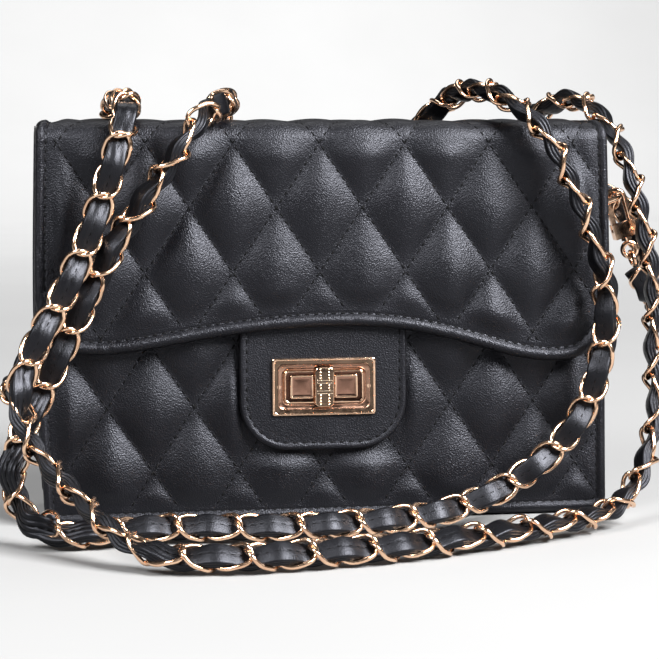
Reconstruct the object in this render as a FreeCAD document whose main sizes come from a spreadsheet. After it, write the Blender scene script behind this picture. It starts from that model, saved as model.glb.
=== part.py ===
import FreeCAD, Part
import Sketcher
import math
import os

# Small quilted flap bag with a turn lock and a chain strap.
# Millimetres, +Z up, +X to the right of someone facing the front, front towards -Y.
# The origin is the middle of the base, on the surface that the bag stands on.

doc = FreeCAD.newDocument("flap_bag")
dim = doc.addObject("Spreadsheet::Sheet", "dim")

SIZES = [
    ("bag_width", 200),
    ("bag_height", 142),
    ("base_depth", 54),
    ("top_depth", 44),
    ("panel_height", 132),
    ("panel_thick", 3),
    ("gusset_inset", 11),
    ("gusset_thick", 2),
    ("base_thick", 3),
    ("board_thick", 1.6),
    ("lining_thick", 0.8),
    ("pocket_width", 120),
    ("pocket_low", 40),
    ("pocket_high", 104),
    ("flap_gap", 2.9),
    ("flap_lining_thick", 0.7),
    ("flap_thick", 3.2),
    ("flap_low", 50),
    ("hinge_gap", 0.3),
    ("flap_front_radius", 8),
    ("flap_back_radius", 6),
    ("binding_width", 3.5),
    ("binding_proud", 0.3),
    ("lock_height", 48),
    ("lock_offset", -1.5),
    ("tab_width", 59),
    ("tab_below", 22),
    ("tab_above", 30),
    ("tab_thick", 2),
    ("tab_radius", 17),
    ("frame_width", 36.5),
    ("frame_tall", 20),
    ("frame_thick", 1.2),
    ("frame_floor", 0.6),
    ("well_width", 27),
    ("well_tall", 11.3),
    ("ridge_inset", 1.2),
    ("ridge_high", 0.8),
    ("floor_width", 28.2),
    ("floor_tall", 16),
    ("slot_play", 0.35),
    ("slot_low_play", 0.35),
    ("slot_deep_play", 1),
    ("inlay_width", 8.2),
    ("inlay_tall", 8.6),
    ("inlay_thick", 0.3),
    ("window_width", 28.6),
    ("window_tall", 18.25),
    ("window_drop", 0.825),
    ("back_plate_width", 35),
    ("back_plate_tall", 21.4),
    ("back_plate_thick", 0.4),
    ("back_plate_drop", 0.8),
    ("plate_width", 23),
    ("plate_tall", 12.5),
    ("plate_clear", 2.2),
    ("backing_width", 26),
    ("backing_tall", 16),
    ("backing_thick", 1),
    ("backing_play", 0.1),
    ("backing_recess_play", 0.6),
    ("backing_recess_deep", 1.15),
    ("rivet_spread", 9.2),
    ("rivet_radius", 0.8),
    ("rivet_hole", 0.82),
    ("rivet_panel_hole", 0.85),
    ("screw_spread", 15.9),
    ("screw_radius", 0.68),
    ("screw_hole", 0.7),
    ("screw_stand", 0.35),
    ("through", 6),
    ("bar_width", 7),
    ("bar_tall", 14),
    ("bar_thick", 1.7),
    ("bar_bevel", 1.1),
    ("bar_stand", 3.75),
    ("shaft_radius", 2),
    ("shaft_play", 0.05),
    ("shaft_panel_play", 0.4),
    ("tenon_radius", 1),
    ("tenon_long", 1),
    ("flange_radius", 3.2),
    ("flange_sink_radius", 3.5),
    ("flange_face", 0.65),
    ("flange_sink_face", 0.75),
    ("shaft_end", 0.12),
    ("ring_high", 108),
    ("ring_out", 95.5),
    ("ring_forward", -6),
    ("ring_long", 15),
    ("ring_wide", 13),
    ("ring_wire", 1),
    ("ring_corner", 1.5),
    ("ring_tab_grip", 4),
    ("ring_tab_tall", 14),
    ("ring_tab_reach", 4.6),
    ("ring_tab_barrel", 2.3),
    ("ring_lift_right", 110),
    ("hook_lean_right", 17),
    ("hook_wire", 1.1),
    ("hook_bend", 3.2),
    ("hook_body_wide", 8.6),
    ("hook_body_deep", 4.4),
    ("hook_body_tall", 5.5),
    ("hook_play", 0.12),
    ("hook_tip", 1.4),
    ("hook_slot_half", 1.05),
    ("hook_slot_in", 1.6),
    ("hook_slot_low", 1.3),
    ("hook_bore", 1.05),
    ("hook_bore_up", 2.6),
    ("gate_half", 0.95),
    ("gate_thick_half", 0.9),
    ("gate_pin", 0.5),
    ("gate_hole", 0.55),
    ("gate_below_tip", 0.25),
    ("shank_radius", 1),
    ("shank_low", 1.6),
    ("shank_long", 3.8),
    ("collar_radius", 1.9),
    ("collar_low", 1.2),
    ("collar_long", 1),
    ("link_play", 0.06),
    ("eye_radius", 2.6),
    ("eye_wire", 0.9),
    ("link_wire", 0.75),
    ("strap_diameter", 10),
]
for row, (alias, number) in enumerate(SIZES, start=1):
    dim.set(f"A{row}", alias)
    dim.set(f"B{row}", str(number))
    dim.setAlias(f"B{row}", alias)
doc.recompute()


def value(formula):
    """The number that a formula over the sheet gives."""
    return float(dim.evalExpression(str(formula)))


FINISHED = []


def finish(piece, name):
    """Give a sub-part the name that its file takes."""
    piece.Label = name
    FINISHED.append(piece)
    return piece


def vector(x, y, z):
    return FreeCAD.Vector(value(x), value(y), value(z))


# ---- Part primitives whose sizes follow the sheet ----


def bind(piece, properties):
    for name, formula in properties.items():
        piece.setExpression(name, str(formula))
    return piece


def box(name, low, high):
    """A block between two corners, each three formulas."""
    piece = doc.addObject("Part::Box", name)
    sizes = {}
    for axis, side, a, b in zip("xyz", ("Length", "Width", "Height"), low, high):
        sizes[f"Placement.Base.{axis}"] = a
        sizes[side] = f"({b}) - ({a})"
    return bind(piece, sizes)


TURNS = {
    "x": FreeCAD.Rotation(FreeCAD.Vector(0, 1, 0), 90),
    "y": FreeCAD.Rotation(FreeCAD.Vector(1, 0, 0), -90),
    "z": FreeCAD.Rotation(),
}


def place(piece, at, axis):
    piece.Placement = FreeCAD.Placement(FreeCAD.Vector(), TURNS[axis])
    return bind(piece, {f"Placement.Base.{k}": f for k, f in zip("xyz", at)})


def cylinder(name, radius, start, length, axis):
    """A round bar that runs from a point along +x, +y or +z."""
    piece = bind(doc.addObject("Part::Cylinder", name), {"Radius": radius, "Height": length})
    return place(piece, start, axis)


def torus(name, radius, wire, centre, turn, sweep=360):
    """A round ring of wire, or a share of one, turned about its centre."""
    piece = bind(doc.addObject("Part::Torus", name), {"Radius1": radius, "Radius2": wire})
    piece.Angle3 = sweep
    piece.Placement = FreeCAD.Placement(FreeCAD.Vector(), turn)
    return bind(piece, {f"Placement.Base.{k}": f for k, f in zip("xyz", centre)})


def fuse(name, pieces):
    piece = doc.addObject("Part::MultiFuse", name)
    piece.Shapes = pieces
    return piece


def cut(name, base, tool):
    piece = doc.addObject("Part::Cut", name)
    piece.Base = base
    piece.Tool = tool
    return piece


def group(name, pieces):
    """Several separate solids under one name."""
    piece = doc.addObject("Part::Compound", name)
    piece.Links = pieces
    return piece


# ---- PartDesign bodies from sketches ----


def sketch_on(body, role, name):
    sketch = body.newObject("Sketcher::SketchObject", name)
    plane = next(f for f in body.Origin.OriginFeatures if f.Role == role)
    sketch.AttachmentSupport = (plane, [""])
    sketch.MapMode = "FlatFace"
    return sketch


def pin_point(sketch, line, end, point):
    """Hold one end of a line at two formulas from the sketch's origin."""
    for kind, formula in zip(("DistanceX", "DistanceY"), point):
        row = sketch.addConstraint(Sketcher.Constraint(kind, -1, 1, line, end, value(formula)))
        sketch.setExpression(f"Constraints[{row}]", str(formula))


def outline(sketch, points):
    """A closed outline of straight lines through points, each two formulas."""
    places = [FreeCAD.Vector(value(a), value(b), 0) for a, b in points]
    lines = []
    for here, there in zip(places, places[1:] + places[:1]):
        lines.append(sketch.addGeometry(Part.LineSegment(here, there), False))
    for line, after in zip(lines, lines[1:] + lines[:1]):
        sketch.addConstraint(Sketcher.Constraint("Coincident", line, 2, after, 1))
    for line, point in zip(lines, points):
        pin_point(sketch, line, 1, point)


def pad(body, sketch, length, name="Pad"):
    """Extrude a sketch equally to both sides of its plane."""
    feature = body.newObject("PartDesign::Pad", name)
    feature.Profile = sketch
    feature.SideType = "Symmetric"
    feature.setExpression("Length", str(length))
    body.Tip = feature
    doc.recompute()
    return feature


def pocket(body, sketch, name, length="4 * dim.bag_width"):
    """Cut a sketch out of the body to both sides of its plane; it has to remove something."""
    before = body.Shape.Volume
    feature = body.newObject("PartDesign::Pocket", name)
    feature.Profile = sketch
    feature.SideType = "Symmetric"
    feature.Type = "Length"
    feature.setExpression("Length", length)
    body.Tip = feature
    doc.recompute()
    if not body.Shape.Volume < before:
        raise RuntimeError(f"{name} cuts nothing")
    return feature


def slab(name, profile, width):
    """A body with a straight profile across the bag, as wide as a formula says."""
    body = doc.addObject("PartDesign::Body", name)
    sketch = sketch_on(body, "YZ_Plane", name + "_profile")
    outline(sketch, profile)
    pad(body, sketch, width)
    return body


# The front and back lean in by the same slope, from base_depth down to top_depth.
SLOPE = "(dim.base_depth - dim.top_depth) / 2 / dim.panel_height"


def front(z, out="0"):
    """Y of a plane that lies out in front of the front panel's face, at a height."""
    return f"(-dim.base_depth / 2 + {SLOPE} * ({z}) - ({out}))"


def back(z, inward="0"):
    """Y of a plane inside the back panel's outer face, at a height."""
    return f"(dim.base_depth / 2 - {SLOPE} * ({z}) - ({inward}))"


def front_slab(name, low, high, near, far, width):
    """A sheet parallel to the front panel, from near to far in front of its outer face."""
    profile = [
        (front(low, near), low),
        (front(low, far), low),
        (front(high, far), high),
        (front(high, near), high),
    ]
    return slab(name, profile, width)


# ---- The bag's body ----


def make_panels():
    backing = "-dim.panel_thick"
    panel = front_slab("FrontPanel", "0", "dim.panel_height", "0", backing, "dim.bag_width")
    sunk = "-dim.panel_thick + dim.backing_recess_deep"
    wide = "dim.backing_width + dim.backing_recess_play"
    tall = "dim.backing_tall + dim.backing_recess_play"
    recess = local_box("BackingRecess", wide, tall, "-dim.panel_thick - 1", sunk)
    hole = local_hole("PanelHole", "dim.shaft_radius + dim.shaft_panel_play")
    rivet_holes = local_pair("PanelRivetHole", "dim.rivet_panel_hole", "dim.rivet_spread")
    tools = fuse("FrontPanelHoles", [recess, hole] + rivet_holes)
    tools.Placement = lock_frame_of_reference()
    finish(cut("FrontPanelCut", panel, tools), "front_panel")
    profile = [
        (back("0"), "0"),
        (back("dim.panel_height"), "dim.panel_height"),
        (back("dim.panel_height", "dim.panel_thick"), "dim.panel_height"),
        (back("0", "dim.panel_thick"), "0"),
    ]
    finish(slab("BackPanel", profile, "dim.bag_width"), "back_panel")


def inner_profile(low, high, inset="0"):
    """The bag's hollow between its panels, from one height to another."""
    thick = f"dim.panel_thick + {inset}"
    return [
        (back(low, thick), low),
        (back(high, thick), high),
        (f"-{back(high, thick)}", high),
        (f"-{back(low, thick)}", low),
    ]


GUSSET_FACE = "(dim.bag_width / 2 - dim.gusset_inset)"
GUSSET_BACK = f"({GUSSET_FACE} - dim.gusset_thick)"


def make_gussets():
    """The two ends are narrow leather walls, tucked in between the edges of the panels."""
    for side, name in ((-1, "left_gusset"), (1, "right_gusset")):
        body = doc.addObject("PartDesign::Body", name.title().replace("_", ""))
        sketch = sketch_on(body, "YZ_Plane", name + "_profile")
        outline(sketch, inner_profile("0", "dim.panel_height"))
        middle = f"{side} * ({GUSSET_FACE} - dim.gusset_thick / 2)"
        sketch.setExpression("AttachmentOffset.Base.z", middle)
        pad(body, sketch, "dim.gusset_thick")
        finish(body, name)


def make_base():
    width = f"2 * {GUSSET_BACK}"
    finish(slab("BasePanel", inner_profile("0", "dim.base_thick"), width), "base_panel")
    top = "(dim.base_thick + dim.board_thick)"
    profile = inner_profile("dim.base_thick", top, "0.4")
    finish(slab("BaseBoard", profile, f"{width} - 1"), "base_board")


def make_lining():
    """An open-topped cloth box, inside the panels, gussets and board."""
    floor = "(dim.base_thick + dim.board_thick)"
    rim = "(dim.panel_height - 2)"
    body = slab("Lining", inner_profile(floor, rim), f"2 * {GUSSET_BACK}")
    hollow = sketch_on(body, "YZ_Plane", "LiningHollow")
    over = "(dim.panel_height + 4)"
    outline(hollow, inner_profile(f"({floor} + dim.lining_thick)", over, "dim.lining_thick"))
    pocket(body, hollow, "LiningPocket", f"2 * ({GUSSET_BACK} - dim.lining_thick)")
    finish(body, "lining")


def make_inner_pocket():
    """A flat slip pocket sewn on the back wall of the lining."""
    near = "(dim.panel_thick + dim.lining_thick)"
    far = f"({near} + dim.lining_thick)"
    low, high = "dim.pocket_low", "dim.pocket_high"
    profile = [
        (back(low, near), low),
        (back(high, near), high),
        (back(high, far), high),
        (back(low, far), low),
    ]
    finish(slab("InnerPocket", profile, "dim.pocket_width"), "inner_pocket")


# ---- The flap ----

# The flap's lower edge, left to right: a soft wave, lower at its two lobes, with round corners.
HEM = [
    (-100, 80),
    (-97, 69),
    (-90, 62.5),
    (-78, 60.6),
    (-52, 63.9),
    (-28, 67.4),
    (0, 69.3),
    (25, 67.9),
    (50, 62.2),
    (78, 56),
    (91, 58.5),
    (97.5, 66),
    (100, 78),
]


def hem_curve(lift):
    """The lower edge as one smooth curve, raised by a distance."""
    curve = Part.BSplineCurve()
    curve.interpolate([FreeCAD.Vector(x, z + lift, 0) for x, z in HEM])
    return curve


def hem_mask(body, name, lift, far):
    """A closed outline between the lower edge and a level line far below or above it."""
    sketch = sketch_on(body, "XZ_Plane", name)
    curve = hem_curve(lift)
    first, last = curve.StartPoint, curve.EndPoint
    reach = value("dim.bag_width")
    corners = [
        last,
        FreeCAD.Vector(reach, last.y, 0),
        FreeCAD.Vector(reach, far, 0),
        FreeCAD.Vector(-reach, far, 0),
        FreeCAD.Vector(-reach, first.y, 0),
        first,
    ]
    sketch.addGeometry(curve, False)
    for here, there in zip(corners, corners[1:]):
        sketch.addGeometry(Part.LineSegment(here, there), False)
    return sketch


def round_corner(body, y, z, radius, name):
    """Fillet the straight edge that runs across the bag through a point of its profile."""
    shape = body.Shape
    names = []
    for i, edge in enumerate(shape.Edges, start=1):
        ends = [v.Point for v in edge.Vertexes]
        if len(ends) == 2 and all(abs(p.y - value(y)) + abs(p.z - value(z)) < 0.01 for p in ends):
            names.append(f"Edge{i}")
    base = body.Tip
    feature = body.newObject("PartDesign::Fillet", name)
    feature.Base = (base, names)
    feature.setExpression("Radius", str(radius))
    body.Tip = feature
    doc.recompute()


def folded_sheet(name, near, thick, inset):
    """A sheet that stands behind the mouth, folds over it and hangs down the front."""
    far = f"({near} + {thick})"
    low = "dim.flap_low"
    foot = "(dim.panel_height + dim.hinge_gap)"
    top = f"(dim.bag_height - {inset})"
    under = f"({top} - {thick})"
    outer = f"(dim.top_depth / 2 - {inset})"
    inner = f"({outer} - {thick})"
    profile = [
        (front(low, near), low),
        (front(low, far), low),
        (front(top, far), top),
        (outer, top),
        (outer, foot),
        (inner, foot),
        (inner, under),
        (front(under, near), under),
    ]
    body = slab(name, profile, "dim.bag_width")
    folds = (
        ("FrontFold", profile[2], f"dim.flap_front_radius - {inset}"),
        ("BackFold", profile[3], f"dim.flap_back_radius - {inset}"),
        ("FrontInnerFold", profile[7], f"dim.flap_front_radius - {inset} - {thick}"),
        ("BackInnerFold", profile[6], f"dim.flap_back_radius - {inset} - {thick}"),
    )
    for label, point, radius in folds:
        round_corner(body, *point, radius, label)
    return body


def make_flap():
    lift = value("dim.binding_width")
    body = folded_sheet("Flap", "dim.flap_gap + dim.flap_lining_thick", "dim.flap_thick", "0")
    pocket(body, hem_mask(body, "FlapEdge", lift, 0), "FlapTrim")
    finish(body, "flap")
    inner = folded_sheet("FlapLining", "dim.flap_gap", "dim.flap_lining_thick", "dim.flap_thick")
    pocket(inner, hem_mask(inner, "FlapLiningEdge", lift, 0), "FlapLiningTrim")
    finish(inner, "flap_lining")


def make_flap_binding():
    """The rolled leather edge along the flap's wave."""
    near = "(dim.flap_gap - dim.binding_proud + 0.3)"
    far = "(dim.flap_gap + dim.flap_lining_thick + dim.flap_thick + dim.binding_proud)"
    body = front_slab("FlapBinding", "dim.flap_low", "100", near, far, "dim.bag_width")
    pocket(body, hem_mask(body, "HemBelow", 0, 0), "TrimBelow")
    lift = value("dim.binding_width")
    pocket(body, hem_mask(body, "HemAbove", lift, 2 * value("dim.bag_height")), "TrimAbove")
    finish(body, "flap_binding")


# ---- The turn lock ----
# Its pieces are drawn about the lock's own centre: x across, z up the leather, -y straight out
# of the front panel's face, which lies at y = 0.

def lock_frame_of_reference():
    lean = math.degrees(math.atan(value(SLOPE)))
    turn = FreeCAD.Rotation(FreeCAD.Vector(1, 0, 0), -lean)
    base = vector("dim.lock_offset", front("dim.lock_height"), "dim.lock_height")
    return FreeCAD.Placement(base, turn)


def local_box(name, width, tall, near, far, x="0", z="0"):
    """A block centred on the lock, from near to far in front of the panel's face."""
    low = (f"{x} - ({width}) / 2", f"-({far})", f"{z} - ({tall}) / 2")
    high = (f"{x} + ({width}) / 2", f"-({near})", f"{z} + ({tall}) / 2")
    return box(name, low, high)


def local_bar(name, radius, near, far, x="0"):
    """A round bar square to the panel, from near to far in front of its face."""
    return cylinder(name, radius, (x, f"-({far})", "0"), f"({far}) - ({near})", "y")


def local_hole(name, radius, x="0"):
    """A round hole square to the panel, right through whatever it meets."""
    return local_bar(name, radius, "-dim.through", "dim.through", x)


def local_pair(name, radius, spread):
    """Two such holes, one to each side of the middle."""
    return [local_hole(f"{name}{i}", radius, f"{k} * {spread}") for i, k in enumerate((-1, 1))]


def in_lock(piece, name):
    """Move a piece drawn about the lock's centre to its place, and name it."""
    piece.Placement = lock_frame_of_reference()
    return finish(piece, name)


def picked_edges(block, test):
    """The numbers of a block's straight edges whose two ends pass a test."""
    doc.recompute()
    found = []
    for i, edge in enumerate(block.Shape.Edges, start=1):
        if test(*[v.Point for v in edge.Vertexes]):
            found.append(i)
    return found


TAB_FACE = "(dim.flap_gap - 0.05)"
TAB_BACK = f"({TAB_FACE} - dim.tab_thick)"
SHAFT_BORE = "dim.shaft_radius + dim.shaft_play"
PLATE_FACE = "(dim.bar_stand - dim.plate_clear)"
BACKING_NEAR = "(-dim.panel_thick + dim.backing_play)"


def make_base_plate():
    """The plate under the tab, through which the turning shaft comes."""
    plate = local_box("BasePlateBlock", "dim.plate_width", "dim.plate_tall", "0", PLATE_FACE)
    holes = [local_hole("BasePlateBore", SHAFT_BORE)]
    holes += local_pair("BasePlateHole", "dim.rivet_hole", "dim.rivet_spread")
    in_lock(cut("BasePlate", plate, fuse("BasePlateHoles", holes)), "lock_base_plate")


def make_backing_plate():
    """The plate let into the back of the panel, hollowed for the shaft's flange."""
    far = f"({BACKING_NEAR} + dim.backing_thick)"
    block = local_box("BackingBlock", "dim.backing_width", "dim.backing_tall", BACKING_NEAR, far)
    sink = "-dim.panel_thick + dim.flange_sink_face"
    holes = [local_hole("BackingBore", SHAFT_BORE)]
    holes += [local_bar("BackingSink", "dim.flange_sink_radius", "-dim.through", sink)]
    holes += local_pair("BackingHole", "dim.rivet_hole", "dim.rivet_spread")
    in_lock(cut("BackingPlate", block, fuse("BackingHoles", holes)), "lock_backing_plate")


def make_rivets():
    rivets = [
        local_bar(f"Rivet{i}", "dim.rivet_radius", BACKING_NEAR, PLATE_FACE, f"{k} * dim.rivet_spread")
        for i, k in enumerate((-1, 1))
    ]
    in_lock(group("Rivets", rivets), "lock_rivets")


def make_turn_shaft():
    """The shaft that the bar is riveted on, with a flange behind the backing plate."""
    start = "-dim.panel_thick + dim.shaft_end"
    flange_face = "-dim.panel_thick + dim.flange_face"
    stand, end = "dim.bar_stand", "dim.bar_stand + dim.tenon_long"
    rod = local_bar("ShaftRod", "dim.shaft_radius", start, stand)
    flange = local_bar("ShaftFlange", "dim.flange_radius", start, flange_face)
    tenon = local_bar("ShaftTenon", "dim.tenon_radius", stand, end)
    in_lock(fuse("TurnShaft", [rod, flange, tenon]), "turn_shaft")


def make_turn_bar():
    """The upright bar on its shaft: turned level, it lies across the frame and holds the flap."""
    far = "(dim.bar_stand + dim.bar_thick)"
    blank = local_box("BarBlank", "dim.bar_width", "dim.bar_tall", "dim.bar_stand", far)
    face_y = -value(far)
    fine = 1e-6

    def level_on_face(a, b):
        return abs(a.z - b.z) < fine and abs(a.y - face_y) < fine and abs(b.y - face_y) < fine

    bevel = doc.addObject("Part::Chamfer", "BarBevel")
    bevel.Base = blank
    size = value("dim.bar_bevel")
    bevel.Edges = [(i, size, size) for i in picked_edges(blank, level_on_face)]
    bore = local_bar("BarBore", "dim.tenon_radius", "dim.bar_stand - 1", "dim.bar_stand + dim.tenon_long")
    in_lock(cut("TurnBar", bevel, bore), "turn_bar")


def bar_window(name):
    """The opening behind the frame, deeper below because the flap swings up as it leaves the bar."""
    near, far = "-dim.through", "dim.through"
    return local_box(name, "dim.window_width", "dim.window_tall", near, far, z="-dim.window_drop")


def make_lock_tab():
    """The smooth leather tab under the flap's edge that carries the frame."""
    tall = "(dim.tab_above + dim.tab_below)"
    middle = "(dim.tab_above - dim.tab_below) / 2"
    sheet = local_box("TabSheet", "dim.tab_width", tall, TAB_BACK, TAB_FACE, z=middle)

    def low_corner(a, b):
        return abs(a.y - b.y) > 1e-6 and a.z < 0

    rounded = doc.addObject("Part::Fillet", "TabRounded")
    rounded.Base = sheet
    size = value("dim.tab_radius")
    rounded.Edges = [(i, size, size) for i in picked_edges(sheet, low_corner)]
    holes = [bar_window("TabWindow")]
    holes += local_pair("TabHole", "dim.screw_hole", "dim.screw_spread")
    in_lock(cut("LockTab", rounded, fuse("TabHoles", holes)), "lock_tab")


def frame_slot(name, low_play, near, far):
    """The bar's way through the frame, looser below than above."""
    wide = "dim.bar_width + 2 * dim.slot_play"
    tall = f"dim.bar_tall + 2 * dim.slot_play + {low_play}"
    return local_box(name, wide, tall, near, far, z=f"-{low_play} / 2")


def make_lock_frame():
    """The frame on the tab, a shallow tray whose rim slopes in, with a slot for the upright bar."""
    rim_face = f"({TAB_FACE} + dim.frame_thick - 0.5)"
    rim = local_box("FrameRim", "dim.frame_width", "dim.frame_tall", TAB_FACE, rim_face)
    ridge_wide = "dim.frame_width - 2 * dim.ridge_inset"
    ridge_tall = "dim.frame_tall - 2 * dim.ridge_inset"
    ridge_face = f"{TAB_FACE} + dim.ridge_high"
    ridge = local_box("FrameRidge", ridge_wide, ridge_tall, rim_face, ridge_face)
    floor_back, floor_face = f"({TAB_FACE} - dim.frame_floor)", f"{TAB_FACE} + 0.2"
    floor = local_box("FrameFloor", "dim.floor_width", "dim.floor_tall", floor_back, floor_face)
    well = local_box("FrameWell", "dim.well_width", "dim.well_tall", TAB_FACE, "dim.through")
    tray = cut("FrameTray", fuse("FrameBlank", [rim, ridge, floor]), well)
    holes = [frame_slot("SlotFront", "dim.slot_low_play", TAB_FACE, "dim.through")]
    holes += [frame_slot("SlotBack", "dim.slot_deep_play", "0", TAB_FACE)]
    end = f"{TAB_FACE} + dim.screw_stand + 0.05"
    for i, k in enumerate((-1, 1)):
        holes.append(local_bar(f"FrameHole{i}", "dim.screw_hole", "0", end, f"{k} * dim.screw_spread"))
    in_lock(cut("LockFrame", tray, fuse("FrameHoles", holes)), "lock_frame")


def make_inlays():
    """Two plain plates on the frame's floor, one to each side of the bar."""
    side = "((dim.well_width + dim.bar_width) / 4 + 0.2)"
    face = f"{TAB_FACE} + dim.inlay_thick"
    inlays = [
        local_box(f"Inlay{i}", "dim.inlay_width", "dim.inlay_tall", TAB_FACE, face, x=f"{k} * {side}")
        for i, k in enumerate((-1, 1))
    ]
    in_lock(group("Inlays", inlays), "lock_inlays")


FRAME_BACK_NEAR = f"({TAB_BACK} - dim.back_plate_thick)"


def make_frame_back_plate():
    """The plate behind the tab that the frame's screws hold."""
    wide, tall, drop = "dim.back_plate_width", "dim.back_plate_tall", "-dim.back_plate_drop"
    ring = local_box("FrameBackBlock", wide, tall, FRAME_BACK_NEAR, TAB_BACK, z=drop)
    holes = [bar_window("FrameBackWindow")]
    holes += local_pair("FrameBackHole", "dim.screw_hole", "dim.screw_spread")
    in_lock(cut("FrameBackPlate", ring, fuse("FrameBackHoles", holes)), "frame_back_plate")


def make_frame_screws():
    end = f"{TAB_FACE} + dim.screw_stand"
    screws = [
        local_bar(f"FrameScrew{i}", "dim.screw_radius", FRAME_BACK_NEAR, end, f"{k} * dim.screw_spread")
        for i, k in enumerate((-1, 1))
    ]
    in_lock(group("FrameScrews", screws), "frame_screws")


# ---- Rings and hooks at the two ends ----
# Drawn for a ring that hangs straight down from its bar, which lies along y at the origin.


def ring_wires(name):
    """A flat rectangular ring of round wire, hanging from its top bar."""
    half, wire, corner = "dim.ring_wide / 2", "dim.ring_wire", "dim.ring_corner"
    down = "-dim.ring_long"
    pieces = []
    for i, z in enumerate(("0", down)):
        start = ("0", f"-{half} + {corner}", z)
        pieces.append(cylinder(f"{name}Bar{i}", wire, start, f"dim.ring_wide - 2 * {corner}", "y"))
    for i, k in enumerate((-1, 1)):
        start = ("0", f"{k} * {half}", f"{down} + {corner}")
        pieces.append(cylinder(f"{name}Leg{i}", wire, start, f"dim.ring_long - 2 * {corner}", "z"))
    upright = FreeCAD.Rotation(FreeCAD.Vector(0, 1, 0), FreeCAD.Vector(0, 0, 1), FreeCAD.Vector(1, 0, 0))
    bends = ((1, "0 -", 0), (-1, "0 -", 90), (-1, f"{down} +", 180), (1, f"{down} +", 270))
    for i, (k, level, low) in enumerate(bends):
        centre = ("0", f"{k} * ({half} - {corner})", f"{level} {corner}")
        turn = FreeCAD.Rotation(FreeCAD.Vector(1, 0, 0), low).multiply(upright)
        pieces.append(torus(f"{name}Bend{i}", corner, wire, centre, turn, 90))
    return fuse(name, pieces)


def along_y(name, radius, x, z, half):
    return cylinder(name, radius, (x, f"-({half})", z), f"2 * ({half})", "y")


NECK = "(-dim.hook_wire * 9)"
BODY_FOOT = f"({NECK} - dim.hook_body_tall)"
EYE_Z = f"({BODY_FOOT} - 1.4 - dim.eye_radius - dim.eye_wire)"
GATE_Z = f"({NECK} - 1.4)"
LINK_RADIUS = "dim.eye_radius"
LINK_GAP = "dim.eye_wire + dim.link_wire + dim.link_play"
LINK_Z = f"({EYE_Z} - dim.eye_radius + {LINK_GAP} - {LINK_RADIUS})"
CROWN = "(-(dim.hook_bend - dim.hook_wire - dim.ring_wire - dim.hook_play))"


def hook_body(name):
    """The arch, its tip and leg, and the block that the gate and the swivel are held in."""
    bend, wire = "dim.hook_bend", "dim.hook_wire"
    turn = FreeCAD.Rotation(FreeCAD.Vector(1, 0, 0), FreeCAD.Vector(0, 0, 1), FreeCAD.Vector(0, -1, 0))
    arch = torus(name + "Arch", bend, wire, ("0", "0", CROWN), turn, 180)
    tip = cylinder(name + "Tip", wire, (f"-{bend}", "0", f"{CROWN} - dim.hook_tip"), "dim.hook_tip", "z")
    leg_foot = f"({NECK} - 0.5)"
    leg = cylinder(name + "Leg", wire, (bend, "0", leg_foot), f"{CROWN} - {leg_foot}", "z")
    half_wide, half_deep = "dim.hook_body_wide / 2", "dim.hook_body_deep / 2"
    low = (f"-{half_wide}", f"-{half_deep}", BODY_FOOT)
    block = box(name + "Block", low, (half_wide, half_deep, NECK))
    slot_low = ("-dim.hook_body_wide", "-dim.hook_slot_half", f"{GATE_Z} - dim.hook_slot_low")
    slot = box(name + "Slot", slot_low, ("-dim.hook_slot_in", "dim.hook_slot_half", "0"))
    bore_start = ("0", "0", f"{BODY_FOOT} - 1")
    bore = cylinder(name + "Bore", "dim.hook_bore", bore_start, "dim.hook_bore_up + 1", "z")
    pin_hole = along_y(name + "PinHole", "dim.gate_pin", f"-{bend}", GATE_Z, "dim.hook_body_deep")
    keep = cut(name + "BlockCut", block, fuse(name + "BlockHoles", [slot, bore, pin_hole]))
    return fuse(name + "Hook", [arch, tip, leg, keep])


def hook_gate(name):
    """The sprung gate that shuts the hook's mouth, with its round knuckle."""
    at, thick, half = "-dim.hook_bend", "dim.gate_thick_half", "dim.gate_half"
    top = f"({CROWN} - dim.hook_tip - dim.gate_below_tip)"
    blade = box(name + "Blade", (f"{at} - {thick}", f"-{half}", GATE_Z), (f"{at} + {thick}", half, top))
    knuckle = along_y(name + "Knuckle", thick, at, GATE_Z, half)
    hole = along_y(name + "GateHole", "dim.gate_hole", at, GATE_Z, "dim.hook_body_deep")
    return cut(name + "Gate", fuse(name + "GateSolid", [blade, knuckle]), hole)


def hook_swivel(name):
    """The eye under the hook, on a shank with a collar."""
    shank_start = ("0", "0", f"{BODY_FOOT} - dim.shank_low")
    shank = cylinder(name + "Shank", "dim.shank_radius", shank_start, "dim.shank_long", "z")
    collar_start = ("0", "0", f"{BODY_FOOT} - dim.collar_low")
    collar = cylinder(name + "Collar", "dim.collar_radius", collar_start, "dim.collar_long", "z")
    eye = torus(name + "Eye", "dim.eye_radius", "dim.eye_wire", ("0", "0", EYE_Z), TURNS["y"])
    return fuse(name + "Swivel", [shank, collar, eye])


def hook_pieces(name):
    """The hook body, its gate and pin, the swivel eye and the last link, as separate objects."""
    link_at = ("0", "0", LINK_Z)
    return {
        "hook": hook_body(name),
        "gate": hook_gate(name),
        "gate_pin": along_y(name + "Pin", "dim.gate_pin", "-dim.hook_bend", GATE_Z, "dim.hook_body_deep / 2"),
        "swivel": hook_swivel(name),
        "end_link": torus(name + "Link", LINK_RADIUS, "dim.link_wire", link_at, TURNS["x"]),
    }


def about_y(degrees):
    return FreeCAD.Rotation(FreeCAD.Vector(0, 1, 0), degrees)


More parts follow.
